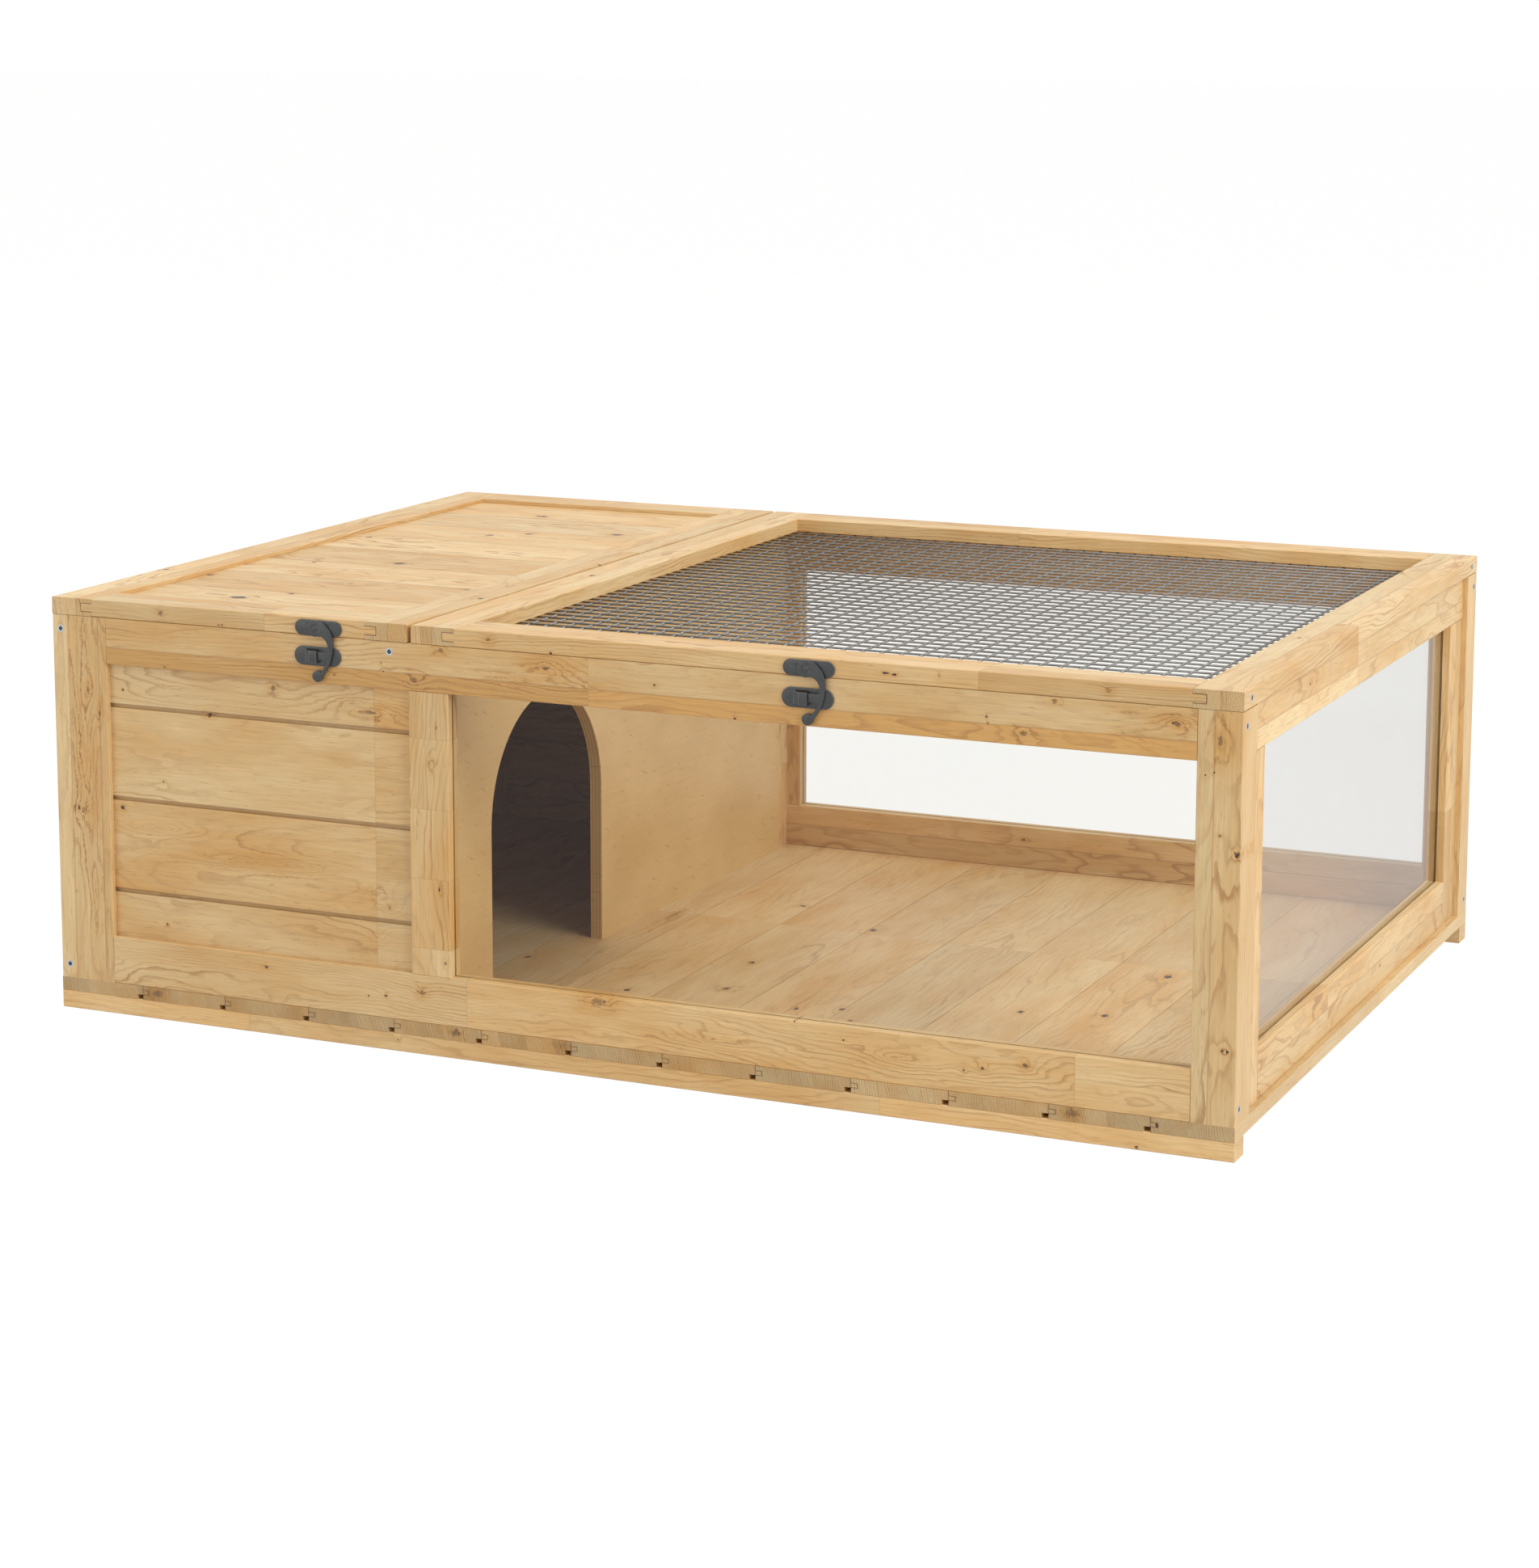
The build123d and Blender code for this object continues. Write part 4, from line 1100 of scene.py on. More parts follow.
@dataclass(frozen=True)
class Lamp:
    """A square soft lamp that faces the house. Its sizes are in metres and its power in watts."""

    name: str
    place: tuple[float, float, float]
    width: float
    power: float
    colour: str
    aim: tuple[float, float, float] = (0.0, 0.0, 0.15)

    def hang(self) -> None:
        """Hang the lamp."""
        data = bpy.data.lights.new(self.name, "AREA")
        data.shape = "SQUARE"
        data.size = self.width
        data.energy = self.power
        data.color = linear(self.colour)[:3]
        lamp = bpy.data.objects.new(self.name, data)
        place = Vector(self.place)
        turn = (Vector(self.aim) - place).to_track_quat("-Z", "Y").to_matrix().to_4x4()
        lamp.matrix_world = Matrix.Translation(place) @ turn
        bpy.context.scene.collection.objects.link(lamp)
        log.info("hung the %s lamp", self.name)


@dataclass(frozen=True)
class Studio:
    """The plain pale floor, the soft light and the camera.

    The camera was found by fitting the house's edges. Its place is in metres and its angles in
    degrees. frame_height, focal_pixels and axis_above_middle are in pixels of the picture that
    it was fitted to, and sensor is in millimetres.
    """

    camera_at: tuple[float, float, float] = (1.1628, -2.65635, 0.7828)
    azimuth: float = 23.984
    elevation: float = 9.009
    roll: float = 0.10886
    frame_height: float = 1940.0
    focal_pixels: float = 4547.45
    axis_above_middle: float = 255.0
    sensor: float = 36.0
    floor_reach: float = 30.0
    floor_paint: str = "#DCDAD7"
    white: str = "#FFFFFF"
    glow: float = 1.1
    glow_share: float = 0.86
    sky_light: float = 0.48
    lamps: tuple[Lamp, ...] = (
        Lamp("key", (3.4, -1.2, 2.4), 2.2, 119.0, "#F6FAFF"),
        Lamp("overhead", (-0.2, 0.3, 3.2), 3.0, 47.0, "#F6FAFF"),
        Lamp("front_fill", (-2.6, -3.2, 1.3), 2.4, 29.0, "#FFFCF6"),
    )

    def build(self) -> None:
        """Set up the camera, the floor, the world and the lamps."""
        bpy.context.scene.view_settings.view_transform = "Standard"
        self.build_camera()
        self.build_floor()
        self.build_world()
        for lamp in self.lamps:
            lamp.hang()

    def build_camera(self) -> None:
        """Place the camera."""
        azimuth, elevation, roll = (
            math.radians(angle) for angle in (self.azimuth, self.elevation, self.roll)
        )
        sine, cosine = math.sin(azimuth), math.cos(azimuth)
        back = Vector((sine * math.cos(elevation), -cosine * math.cos(elevation), math.sin(elevation)))
        level = Vector((cosine, sine, 0.0))
        rise = back.cross(level)
        right = math.cos(roll) * level + math.sin(roll) * rise
        upward = -math.sin(roll) * level + math.cos(roll) * rise
        data = bpy.data.cameras.new("camera")
        data.sensor_width = self.sensor
        data.lens = self.focal_pixels / self.frame_height * self.sensor
        data.shift_y = -self.axis_above_middle / self.frame_height
        camera = bpy.data.objects.new("camera", data)
        turn = Matrix((right, upward, back)).transposed().to_4x4()
        camera.matrix_world = Matrix.Translation(self.camera_at) @ turn
        bpy.context.scene.collection.objects.link(camera)
        bpy.context.scene.camera = camera

    @staticmethod
    def seen_rays(graph: Graph) -> Socket:
        """Tell the light that is seen, straight or in a pane or a reflection, from other light.

        Args:
            graph: The graph of the floor or the world.

        Returns:
            1 on a ray that is seen.
        """
        rays = graph.add("LightPath").node.outputs
        seen = graph.add(
            "Math", {0: rays["Is Camera Ray"], 1: rays["Is Transmission Ray"]}, operation="MAXIMUM"
        )
        return graph.add("Math", {0: seen, 1: rays["Is Glossy Ray"]}, operation="MAXIMUM")

    def build_floor(self) -> None:
        """Lay a pale floor that the camera sees as white, with the house's soft shadow."""
        mesh = bmesh.new()
        bmesh.ops.create_grid(mesh, x_segments=1, y_segments=1, size=self.floor_reach)
        material = bpy.data.materials.new("studio_floor")
        graph = Graph.emptied(material)
        paint = graph.add("BsdfDiffuse", {"Color": linear(self.floor_paint)})
        white = graph.add("Emission", {"Color": linear(self.white), "Strength": self.glow})
        share = graph.add("Math", {0: self.seen_rays(graph), 1: self.glow_share}, operation="MULTIPLY")
        shader = graph.add("MixShader", {0: share, 1: paint, 2: white})
        graph.add("OutputMaterial", {"Surface": shader})
        finished_object(mesh, "studio_floor", material)

    def build_world(self) -> None:
        """Give the surroundings an even light, seen as white by the camera and in reflections."""
        world = bpy.data.worlds.new("studio")
        bpy.context.scene.world = world
        graph = Graph.emptied(world)
        seen = self.seen_rays(graph)
        strength = graph.add("MapRange", {"Value": seen, 1: 0.0, 2: 1.0, 3: self.sky_light, 4: 1.0})
        light = graph.add("Background", {"Color": linear(self.white), "Strength": strength})
        graph.add("OutputWorld", {"Surface": light})


@dataclass(frozen=True)
class Timberwork:
    """A sub-assembly of fir pieces."""

    def planks(self) -> list[Plank]:
        """List the pieces, with the marks that their faces show.

        Returns:
            The pieces.
        """
        raise NotImplementedError

    def dress(self) -> None:
        """Give every piece its own material."""
        for plank in self.planks():
            give_material(plank.node, FIR.material(plank))
            log.info("dressed %s in fir with %d knots", plank.node, len(plank.knots))


@dataclass(frozen=True)
class BoardedWall(Timberwork):
    """A wall with siding, whose reveals lie at the middle of its boards from face to face and get a painted
    shade.
    """

    siding_seams: tuple[float, float] = (98.3, 72.6)
    siding_reveal_plane: float = 7.5


@dataclass(frozen=True)
class FrontWall(BoardedWall):
    """The front wall, with its runner. latches are the X of the keepers on its top rail.

    window_low and window_high are the corners of the painted shade on the wood behind the window
    in a keeper, from the keeper's X on.
    """

    latches: tuple[float, float] = (235.5, 632.7)
    window_low: tuple[float, float, float] = (-9.2, -1.0, 290.6)
    window_high: tuple[float, float, float] = (2.9, 7.0, 302.0)
    painted_window_shade: float = 0.97

    def windows(self) -> tuple[Cut, ...]:
        """Paint the shade in the keepers' windows onto the rail.

        Returns:
            A filled patch of painted shade behind each window.
        """
        low, high = self.window_low, self.window_high
        # Painted shade: the wood seen through each keeper's window is darkened as if in shadow
        return tuple(
            Cut((latch + low[0], *low[1:]), (latch + high[0], *high[1:]), dark=self.painted_window_shade, filled=True)
            for latch in self.latches
        )

    def planks(self) -> list[Plank]:
        """List the posts, rails, siding and runner.

        Returns:
            The pieces.
        """
        return [
            Plank(
                "front_left_post", Grain.Z_FRONT, 3.0, UNJOINTED, (14.0, 27.0),
                (
                    Knot(254.0, 31.0, 1.7, 11.0, 2.0, 4.0, 1.0, 0.45),
                    Knot(237.0, 41.0, 1.0, 8.0, 3.0, 4.0, 0.9), Knot(161.0, 20.0, 1.7, 6.0, 1.2, 3.0, 0.7),
                    Knot(158.0, 23.5, 0.9, 3.0), Knot(205.0, 27.0, 2.4, 16.0, 8.0, 3.8, 0.8, 0.0),
                    Knot(96.0, 33.0, 0.8, 9.0, 9.0, 5.0, 0.6, 0.0),
                    Knot(300.0, 28.0, 2.0, 8.0, 7.0, 3.8, 0.6, 0.0),
                ),
                lower=-0.4,
            ),
            Plank(
                "front_top_rail", Grain.X_UPRIGHT, 11.0, (461.0, 460.0), (289.0, 60.0),
                (
                    Knot(101.0, 277.5, 0.9, 2.0), Knot(292.0, 289.0, 0.7, 2.0, 1.0),
                    Knot(290.0, 295.0, 0.8, 2.0, 1.0), Knot(250.0, 283.0, 0.8, 2.0, 1.0),
                    Knot(318.0, 284.5, 2.0, 8.0, 1.6, 3.4, 0.8, 0.6),
                    Knot(340.0, 308.5, 1.9, 5.0, 1.4, 2.4, 0.7, 0.5),
                    Knot(427.0, 301.5, 1.5, 15.0, 2.4, 5.0, 1.0, 0.7),
                    Knot(402.0, 292.0, 1.6, 10.0, 5.0, 4.0, 0.7, 0.0),
                    Knot(448.0, 290.0, 1.2, 7.0, 5.0, 4.0, 0.6, 0.0), Knot(514.0, 296.0, 1.1, 3.0),
                    Knot(577.0, 276.8, 1.2, 3.0, 1.2, 2.0, 0.5, 1.0),
                    Knot(767.0, 294.0, 1.0, 3.0, 0.8, 2.0, 0.4, 1.0),
                    Knot(768.0, 289.5, 0.8, 2.0, 0.8, 2.0, 0.4, 1.0),
                    Knot(794.0, 284.5, 1.9, 9.0, 1.8, 3.6, 0.85, 0.6),
                    Knot(816.0, 308.5, 1.8, 5.0, 1.3, 2.4, 0.7, 0.55),
                    Knot(870.0, 305.0, 0.9, 5.0, 3.0, 4.0, 0.4, 0.3),
                    Knot(903.0, 300.0, 1.5, 15.0, 2.2, 5.0, 1.0, 0.7),
                    Knot(884.0, 292.0, 1.2, 8.0, 5.0, 4.0, 0.7, 0.0),
                ),
                lower=0.6, cuts=self.windows(),
            ),
            Plank(
                "front_bottom_rail", Grain.X_UPRIGHT, 22.0, (359.0, 476.0), (64.0, 90.0),
                (
                    Knot(186.0, 52.5, 1.1, 3.0), Knot(275.0, 40.0, 0.9, 3.0, 1.0),
                    Knot(290.0, 41.7, 1.2, 6.0, 1.4), Knot(321.0, 47.8, 1.9, 6.0, 1.2, 2.6, 0.8, 0.6),
                    Knot(468.0, 57.0, 3.4, 5.0, 1.9, 2.4, 1.0, 0.5),
                    Knot(473.0, 58.0, 1.2, 3.0, 0.9, 2.2, 0.7, 0.9),
                    Knot(662.0, 51.9, 0.9, 3.0, 1.0, 2.0, 0.3, 1.0),
                    Knot(624.0, 61.0, 0.7, 3.0, 1.0, 2.0, 0.4, 1.0), Knot(753.0, 41.0, 1.0, 3.0, 1.0),
                    Knot(767.0, 44.0, 1.4, 6.0, 1.3), Knot(799.0, 50.0, 1.9, 6.0, 1.2, 2.6, 0.8, 0.6),
                    Knot(700.0, 44.0, 1.0, 7.0, 5.0, 5.0, 0.2, 0.0),
                    Knot(560.0, 40.0, 1.0, 6.0, 8.0, 5.0, 0.2, 0.0),
                ),
                tone=1.07, ring=2.2,
            ),
            Plank(
                "front_mid_post", Grain.Z_FRONT, 31.0, (188.0, 53.0), (200.0, 160.0),
                (
                    Knot(128.0, 337.0, 0.9, 3.0, 2.6, 2.0, 0.6, 1.0),
                    Knot(72.0, 341.0, 1.2, 4.0, 1.2, 2.4, 0.7, 0.6), Knot(250.0, 336.0, 0.6, 2.0, 3.0),
                    Knot(222.0, 330.0, 1.0, 6.0, 2.0, 4.0, 0.5, 0.2),
                ),
            ),
            Plank(
                "front_right_post", Grain.Z_FRONT, 41.0, UNJOINTED, (930.0, 34.0),
                (
                    Knot(291.0, 934.0, 1.9, 9.0, 2.4, 3.6, 1.0, 0.6),
                    Knot(267.0, 924.0, 0.9, 3.0, 1.0, 2.0, 0.4, 1.0),
                    Knot(269.0, 930.0, 0.9, 3.0, 1.0, 2.0, 0.4, 1.0), Knot(226.0, 935.0, 0.9, 3.0, 1.0),
                    Knot(214.0, 947.5, 2.2, 5.0, 1.1, 1.8, 0.8, 1.0),
                    Knot(77.0, 943.5, 1.3, 5.0, 1.0, 2.6, 0.7, 1.0),
                    Knot(77.5, 940.0, 1.0, 3.0, 1.0, 2.6, 0.7, 1.0),
                ),
                tone=0.96, lower=-0.3,
            ),
            Plank(
                "front_siding", Grain.X_UPRIGHT, 51.0, (281.0, 600.0), self.siding_seams,
                (
                    Knot(60.0, 256.0, 1.0, 4.0, 0.9, 2.4, 0.4, 1.0),
                    Knot(194.0, 268.0, 2.6, 3.0, 1.0, 2.0, 0.8, 0.6),
                    Knot(278.0, 256.0, 1.4, 16.0, 5.0, 4.5, 1.0, 0.55),
                    Knot(262.0, 262.0, 1.2, 8.0, 4.0, 4.0, 0.6, 0.0),
                    Knot(137.0, 242.5, 1.7, 6.0, 1.4, 2.4, 0.6, 1.0),
                    Knot(95.0, 187.0, 1.0, 4.0, 0.9, 2.2, 0.4, 0.9),
                    Knot(57.0, 164.0, 1.8, 7.0, 1.0, 2.4, 0.5, 1.0),
                    Knot(185.0, 132.0, 1.2, 30.0, 10.0, 5.0, 0.25, 0.0),
                    Knot(280.0, 118.0, 2.0, 14.0, 2.0, 4.0, 0.5, 0.15),
                    Knot(292.0, 108.0, 1.8, 9.0, 1.4, 3.4, 0.55, 0.3),
                    Knot(95.0, 75.0, 1.1, 5.0, 0.9, 3.0, 0.5, 0.8),
                    Knot(281.0, 86.0, 3.0, 8.0, 1.4, 2.6, 0.3, 0.0),
                    Knot(90.0, 150.0, 1.0, 16.0, 7.0, 5.0, 0.25, 0.0),
                    Knot(110.0, 262.0, 0.8, 6.0, 12.0, 4.0, 0.15, 0.0),
                ),
                figure=0.8, seam=0.0, middle=self.siding_reveal_plane,
            ),
            Plank(
                "front_runner", Grain.X_UPRIGHT, 61.0, (170.0, 520.0), UNGLUED,
                (Knot(880.0, 2.0, 1.3, 4.0), Knot(300.0, 9.0, 0.8, 3.0, 1.0)), tone=1.12, figure=0.65,
            ),
        ]


@dataclass(frozen=True)
class RightWall(Timberwork):
    """The right wall, which frames a window."""

    def planks(self) -> list[Plank]:
        """List the stiles and rails.

        Returns:
            The pieces.
        """
        return [
            Plank("right_front_stile", Grain.Z_SIDE, 71.0, UNJOINTED, (53.0, 40.0)),
            Plank("right_rear_stile", Grain.Z_SIDE, 72.0, (120.0, 260.0), (620.0, 40.0)),
            Plank(
                "right_top_rail", Grain.Y_UPRIGHT, 73.0, (310.0, 420.0), (291.0, 60.0),
                (Knot(180.0, 300.0, 1.2, 4.0), Knot(470.0, 284.0, 1.0, 3.0)), tone=1.04, lower=-0.2,
            ),
            Plank(
                "right_bottom_rail", Grain.Y_UPRIGHT, 74.0, (250.0, 380.0), (44.0, 60.0),
                (Knot(400.0, 40.0, 1.2, 4.0),), tone=1.04, lower=-0.2,
            ),
        ]


@dataclass(frozen=True)
class LeftWall(BoardedWall):
    """The left wall."""

    def planks(self) -> list[Plank]:
        """List the stiles, rails and siding.

        Returns:
            The pieces.
        """
        return [
            Plank("left_front_stile", Grain.Z_SIDE, 75.0, (150.0, 400.0), (33.0, 60.0)),
            Plank("left_rear_stile", Grain.Z_SIDE, 76.0, (90.0, 400.0), (630.0, 60.0)),
            Plank("left_top_rail", Grain.Y_UPRIGHT, 77.0, (270.0, 380.0), (291.0, 60.0), lower=0.5),
            Plank("left_bottom_rail", Grain.Y_UPRIGHT, 78.0, (400.0, 380.0), (44.0, 60.0)),
            Plank(
                "left_siding", Grain.Y_UPRIGHT, 79.0, (360.0, 640.0), self.siding_seams,
                (
                    Knot(140.0, 262.0, 1.2, 5.0), Knot(560.0, 200.0, 1.1, 4.0), Knot(470.0, 76.0, 1.2, 5.0),
                    Knot(610.0, 262.0, 1.5, 7.0),
                ),
                figure=0.75, seam=0.0, middle=self.siding_reveal_plane,
            ),
        ]


@dataclass(frozen=True)
class BackWall(BoardedWall):
    """The back wall, with its runner."""

    siding_reveal_plane: float = 656.5

    def planks(self) -> list[Plank]:
        """List the posts, rails, siding and runner.

        Returns:
            The pieces.
        """
        return [
            Plank("back_left_post", Grain.Z_FRONT, 81.0, UNJOINTED, (15.0, 27.0)),
            Plank("back_mid_post", Grain.Z_FRONT, 82.0, (170.0, 120.0), (300.0, 70.0)),
            Plank("back_right_post", Grain.Z_FRONT, 83.0, UNJOINTED, (934.0, 40.0)),
            Plank(
                "back_top_rail", Grain.X_UPRIGHT, 84.0, (520.0, 450.0), (289.0, 60.0),
                (Knot(260.0, 300.0, 1.2, 5.0), Knot(690.0, 296.0, 1.6, 12.0, 2.0, 4.0, 0.8, 0.6)), lower=0.5,
            ),
            Plank(
                "back_bottom_rail", Grain.X_UPRIGHT, 85.0, (300.0, 450.0), (44.0, 60.0),
                (Knot(560.0, 50.0, 1.2, 5.0),),
            ),
            Plank(
                "back_siding", Grain.X_UPRIGHT, 86.0, (200.0, 600.0), self.siding_seams,
                (Knot(120.0, 130.0, 1.5, 8.0), Knot(240.0, 205.0, 1.2, 5.0), Knot(180.0, 262.0, 1.4, 6.0)),
                seam=0.0, middle=self.siding_reveal_plane,
            ),
            Plank("rear_runner", Grain.X_UPRIGHT, 87.0, (480.0, 520.0), UNGLUED),
        ]


@dataclass(frozen=True)
class Inside(Timberwork):
    """The floor, the rail under the boarded lid's edge and the batten of the partition.

    gap_low and gap_high are the corners of the gap that shows at the ends of the floor boards,
    from the X of their seam on.
    """

    floor_seams: tuple[float, float] = (0.0, 74.2)
    gap_low: tuple[float, float, float] = (-0.2, BEFORE_FRONT, 17.8)
    gap_high: tuple[float, float, float] = (5.0, BEHIND_BACK, 21.2)
    gap_dark: float = 0.34

    def planks(self) -> list[Plank]:
        """List the rail, the batten and the floor boards.

        Returns:
            The pieces.
        """
        gap = Cut(self.gap_low, self.gap_high, self.gap_low[0], self.gap_dark, self.floor_seams[1])
        return [
            Plank("cross_rail", Grain.Y_FLAT, 88.0, (300.0, 420.0), (297.0, 60.0)),
            Plank("partition_batten", Grain.Z_SIDE, 89.0, (100.0, 400.0), (560.0, 200.0)),
            Plank(
                "floor_boards", Grain.Y_FLAT, 90.0, (380.0, 610.0), self.floor_seams,
                (
                    Knot(374.0, 352.0, 2.4, 16.0, 9.0, 2.6, 0.8, 0.35),
                    Knot(201.0, 304.0, 2.8, 6.0, 1.3, 2.2, 0.5, 0.9),
                    Knot(145.0, 419.5, 3.2, 7.0, 1.2, 2.4, 0.6, 1.0),
                    Knot(180.0, 488.0, 3.4, 9.0, 1.4, 2.8, 0.75, 0.85),
                    Knot(259.0, 474.0, 2.8, 6.0, 1.3, 2.2, 0.6, 1.0),
                    Knot(150.0, 560.0, 2.2, 4.0, 1.3, 2.2, 0.5, 1.0),
                    Knot(163.0, 592.0, 2.6, 6.0, 1.3, 2.2, 0.5, 1.0),
                    Knot(137.0, 610.0, 2.0, 4.0, 1.2, 2.0, 0.4, 1.0),
                    Knot(393.0, 523.0, 3.4, 8.0, 1.4, 2.2, 0.6, 1.0),
                    Knot(444.0, 438.0, 2.6, 4.0, 1.2, 2.2, 0.5, 1.0),
                    Knot(212.0, 718.0, 2.8, 5.0, 1.4, 2.2, 0.5, 1.0),
                    Knot(228.0, 779.0, 3.2, 7.0, 1.4, 2.2, 0.5, 1.0),
                    Knot(354.0, 788.6, 3.4, 7.0, 1.5, 2.4, 0.6, 1.0),
                    Knot(238.0, 350.0, 3.0, 9.0, 4.0, 3.0, 0.45, 0.2),
                    Knot(0.0, 87.0, 5.0, 2.0, 1.4, 1.6, 1.0, 0.5, 20.0, 3.5),
                    Knot(0.0, 349.0, 5.0, 2.0, 1.4, 1.6, 1.0, 0.6, 20.0, 3.5),
                    Knot(0.0, 439.0, 4.0, 2.0, 1.4, 1.6, 0.8, 0.2, 21.0, 3.0),
                    Knot(0.0, 833.0, 5.5, 2.0, 1.4, 1.6, 1.0, 0.5, 20.0, 3.5),
                    Knot(0.0, 894.6, 1.1, 0.0, 1.0, 1.0, 0.0, 1.0, 19.6, 1.7),
                ),
                figure=0.7, seam=0.16, end_tone=0.8, cuts=(gap,),
            ),
        ]


@dataclass(frozen=True)
class Lid(Timberwork):
    """A lid whose rails are tongued into its stiles, so that the tongues' ends show there.

    tongue_reach is how far they go in, tongue_look how far in their outline is drawn, and
    tongue_thickness their height.
    """

    tongue_reach: float = 10.0
    tongue_look: float = 20.0
    tongue_thickness: float = 6.0

    def tongue_ends(self, lid: str) -> tuple[Cut, Cut]:
        """Find the outlines of the rails' tongues.

        Args:
            lid: What the lid's nodes are named for.

        Returns:
            The outlines in its left and in its right stile.
        """
        low, high = (HOUSE.millimetres(corner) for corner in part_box(f"{lid}_front_rail"))
        middle = (low.z + high.z) / 2
        bottom, top = middle - self.tongue_thickness / 2, middle + self.tongue_thickness / 2
        left, right = (
            Cut((inner, BEFORE_FRONT, bottom), (outer, BEHIND_BACK, top), shoulder)
            for inner, outer, shoulder in (
                (low.x, low.x + self.tongue_look, low.x + self.tongue_reach),
                (high.x - self.tongue_look, high.x, high.x - self.tongue_reach),
            )
        )
        return left, right


@dataclass(frozen=True)
class BoardedLid(Lid):
    """The lid of the house, which is boarded."""

    roof_seams: tuple[float, float] = (110.0, 74.0)

    def planks(self) -> list[Plank]:
        """List the rails, the stiles and the roof boards.

        Returns:
            The pieces.
        """
        left, right = self.tongue_ends("roof")
        return [
            Plank(
                "roof_front_rail", Grain.X_FLAT, 101.0, (190.0, 460.0), (20.0, 60.0),
                (
                    Knot(98.0, 0.0, 1.9, 6.0, 1.2, 2.4, 0.7, 0.6, 319.0, 2.0),
                    Knot(150.0, 0.0, 0.8, 2.0, 1.0, 2.0, 0.3, 0.9, 313.5, 0.8),
                    Knot(153.0, 0.0, 0.8, 2.0, 1.0, 2.0, 0.3, 0.9, 313.5, 0.8),
                ),
            ),
            Plank("roof_back_rail", Grain.X_FLAT, 102.0, (150.0, 460.0), (648.0, 60.0)),
            Plank(
                "roof_left_stile", Grain.Y_FLAT, 103.0, (240.0, 430.0), (22.0, 60.0),
                (Knot(150.0, 5.5, 2.6, 4.0, 1.2, 2.2, 0.5, 1.0),), tone=1.05, lower=-0.2, cuts=(left,),
            ),
            Plank(
                "roof_right_stile", Grain.Y_FLAT, 104.0, (390.0, 430.0), (296.0, 60.0),
                (
                    Knot(601.0, 307.0, 1.6, 4.0), Knot(128.0, 304.5, 3.0, 4.0, 1.1, 2.2, 0.5, 1.0),
                    Knot(317.0, 311.0, 1.4, 4.0),
                ),
                cuts=(right,),
            ),
            Plank(
                "roof_boards", Grain.X_FLAT, 105.0, (420.0, 900.0), self.roof_seams,
                (
                    Knot(121.5, 74.0, 5.6, 8.0, 1.5, 1.7, 0.5, 1.0),
                    Knot(149.5, 106.0, 2.8, 5.0, 1.1, 1.9, 0.4, 1.0),
                    Knot(106.0, 38.0, 3.2, 4.0, 1.1, 1.9, 0.4, 1.0),
                    Knot(41.0, 160.0, 3.2, 6.0, 1.2, 2.0, 0.4, 1.0),
                    Knot(149.0, 275.5, 4.4, 7.0, 1.6, 1.9, 0.5, 1.0),
                    Knot(128.0, 569.5, 4.6, 9.0, 1.3, 2.2, 0.6, 1.0),
                    Knot(239.0, 495.0, 4.6, 9.0, 1.3, 2.2, 0.6, 1.0),
                    Knot(168.0, 467.5, 3.6, 6.0, 1.2, 2.2, 0.6, 1.0),
                    Knot(140.5, 447.5, 3.4, 6.0, 1.2, 2.2, 0.6, 1.0),
                    Knot(51.5, 394.0, 3.2, 6.0, 1.2, 2.2, 0.5, 1.0),
                    Knot(81.5, 253.0, 2.6, 5.0, 1.1, 2.2, 0.5, 0.9),
                    Knot(266.0, 180.0, 2.6, 5.0, 2.4, 2.2, 0.5, 0.7),
                    Knot(165.5, 168.5, 2.2, 5.0, 1.6, 2.6, 0.5, 0.6),
                    Knot(190.0, 230.0, 2.0, 14.0, 6.0, 4.0, 0.3, 0.0),
                    Knot(90.0, 330.0, 2.0, 14.0, 6.0, 4.0, 0.25, 0.0),
                    Knot(200.0, 395.0, 2.0, 12.0, 5.0, 4.0, 0.3, 0.0),
                ),
                seam=0.7,
            ),
        ]


@dataclass(frozen=True)
class MeshLid(Lid):
    """The wooden frame of the run's lid."""

    def planks(self) -> list[Plank]:
        """List the rails and the stiles.

        Returns:
            The pieces.
        """
        left, right = self.tongue_ends("mesh")
        return [
            Plank(
                "mesh_front_rail", Grain.X_FLAT, 111.0, (761.0, 460.0), (18.0, 60.0),
                (
                    Knot(380.0, 0.0, 1.8, 6.0, 1.2, 2.4, 0.7, 0.6, 319.0, 2.0),
                    Knot(431.0, 0.0, 1.0, 4.0, 1.4, 2.0, 0.4, 1.0, 313.0, 1.0),
                    Knot(692.0, 0.0, 1.4, 4.0, 2.0, 2.2, 0.6, 1.0, 318.5, 1.2),
                    Knot(698.0, 0.0, 1.2, 4.0, 2.0, 2.2, 0.6, 1.0, 318.0, 1.0),
                    Knot(732.0, 0.0, 0.9, 3.0, 1.0, 2.2, 0.4, 0.4, 320.0, 1.8),
                    Knot(855.0, 0.0, 1.6, 5.0, 1.4, 2.4, 0.6, 0.4, 319.0, 1.6),
                ),
                tone=0.98,
            ),
            Plank("mesh_back_rail", Grain.X_FLAT, 112.0, (560.0, 460.0), (646.0, 60.0)),
            Plank(
                "mesh_left_stile", Grain.Y_FLAT, 113.0, (330.0, 430.0), (333.0, 60.0),
                (Knot(264.0, 331.5, 3.0, 4.0, 1.2, 2.2, 0.5, 1.0),), cuts=(left,),
            ),
            Plank(
                "mesh_right_stile", Grain.Y_FLAT, 114.0, (290.0, 430.0), (934.0, 60.0),
                (Knot(220.0, 925.0, 2.2, 4.0, 1.2, 2.2, 0.5, 0.9),), lower=-0.3, cuts=(right,),
            ),
        ]


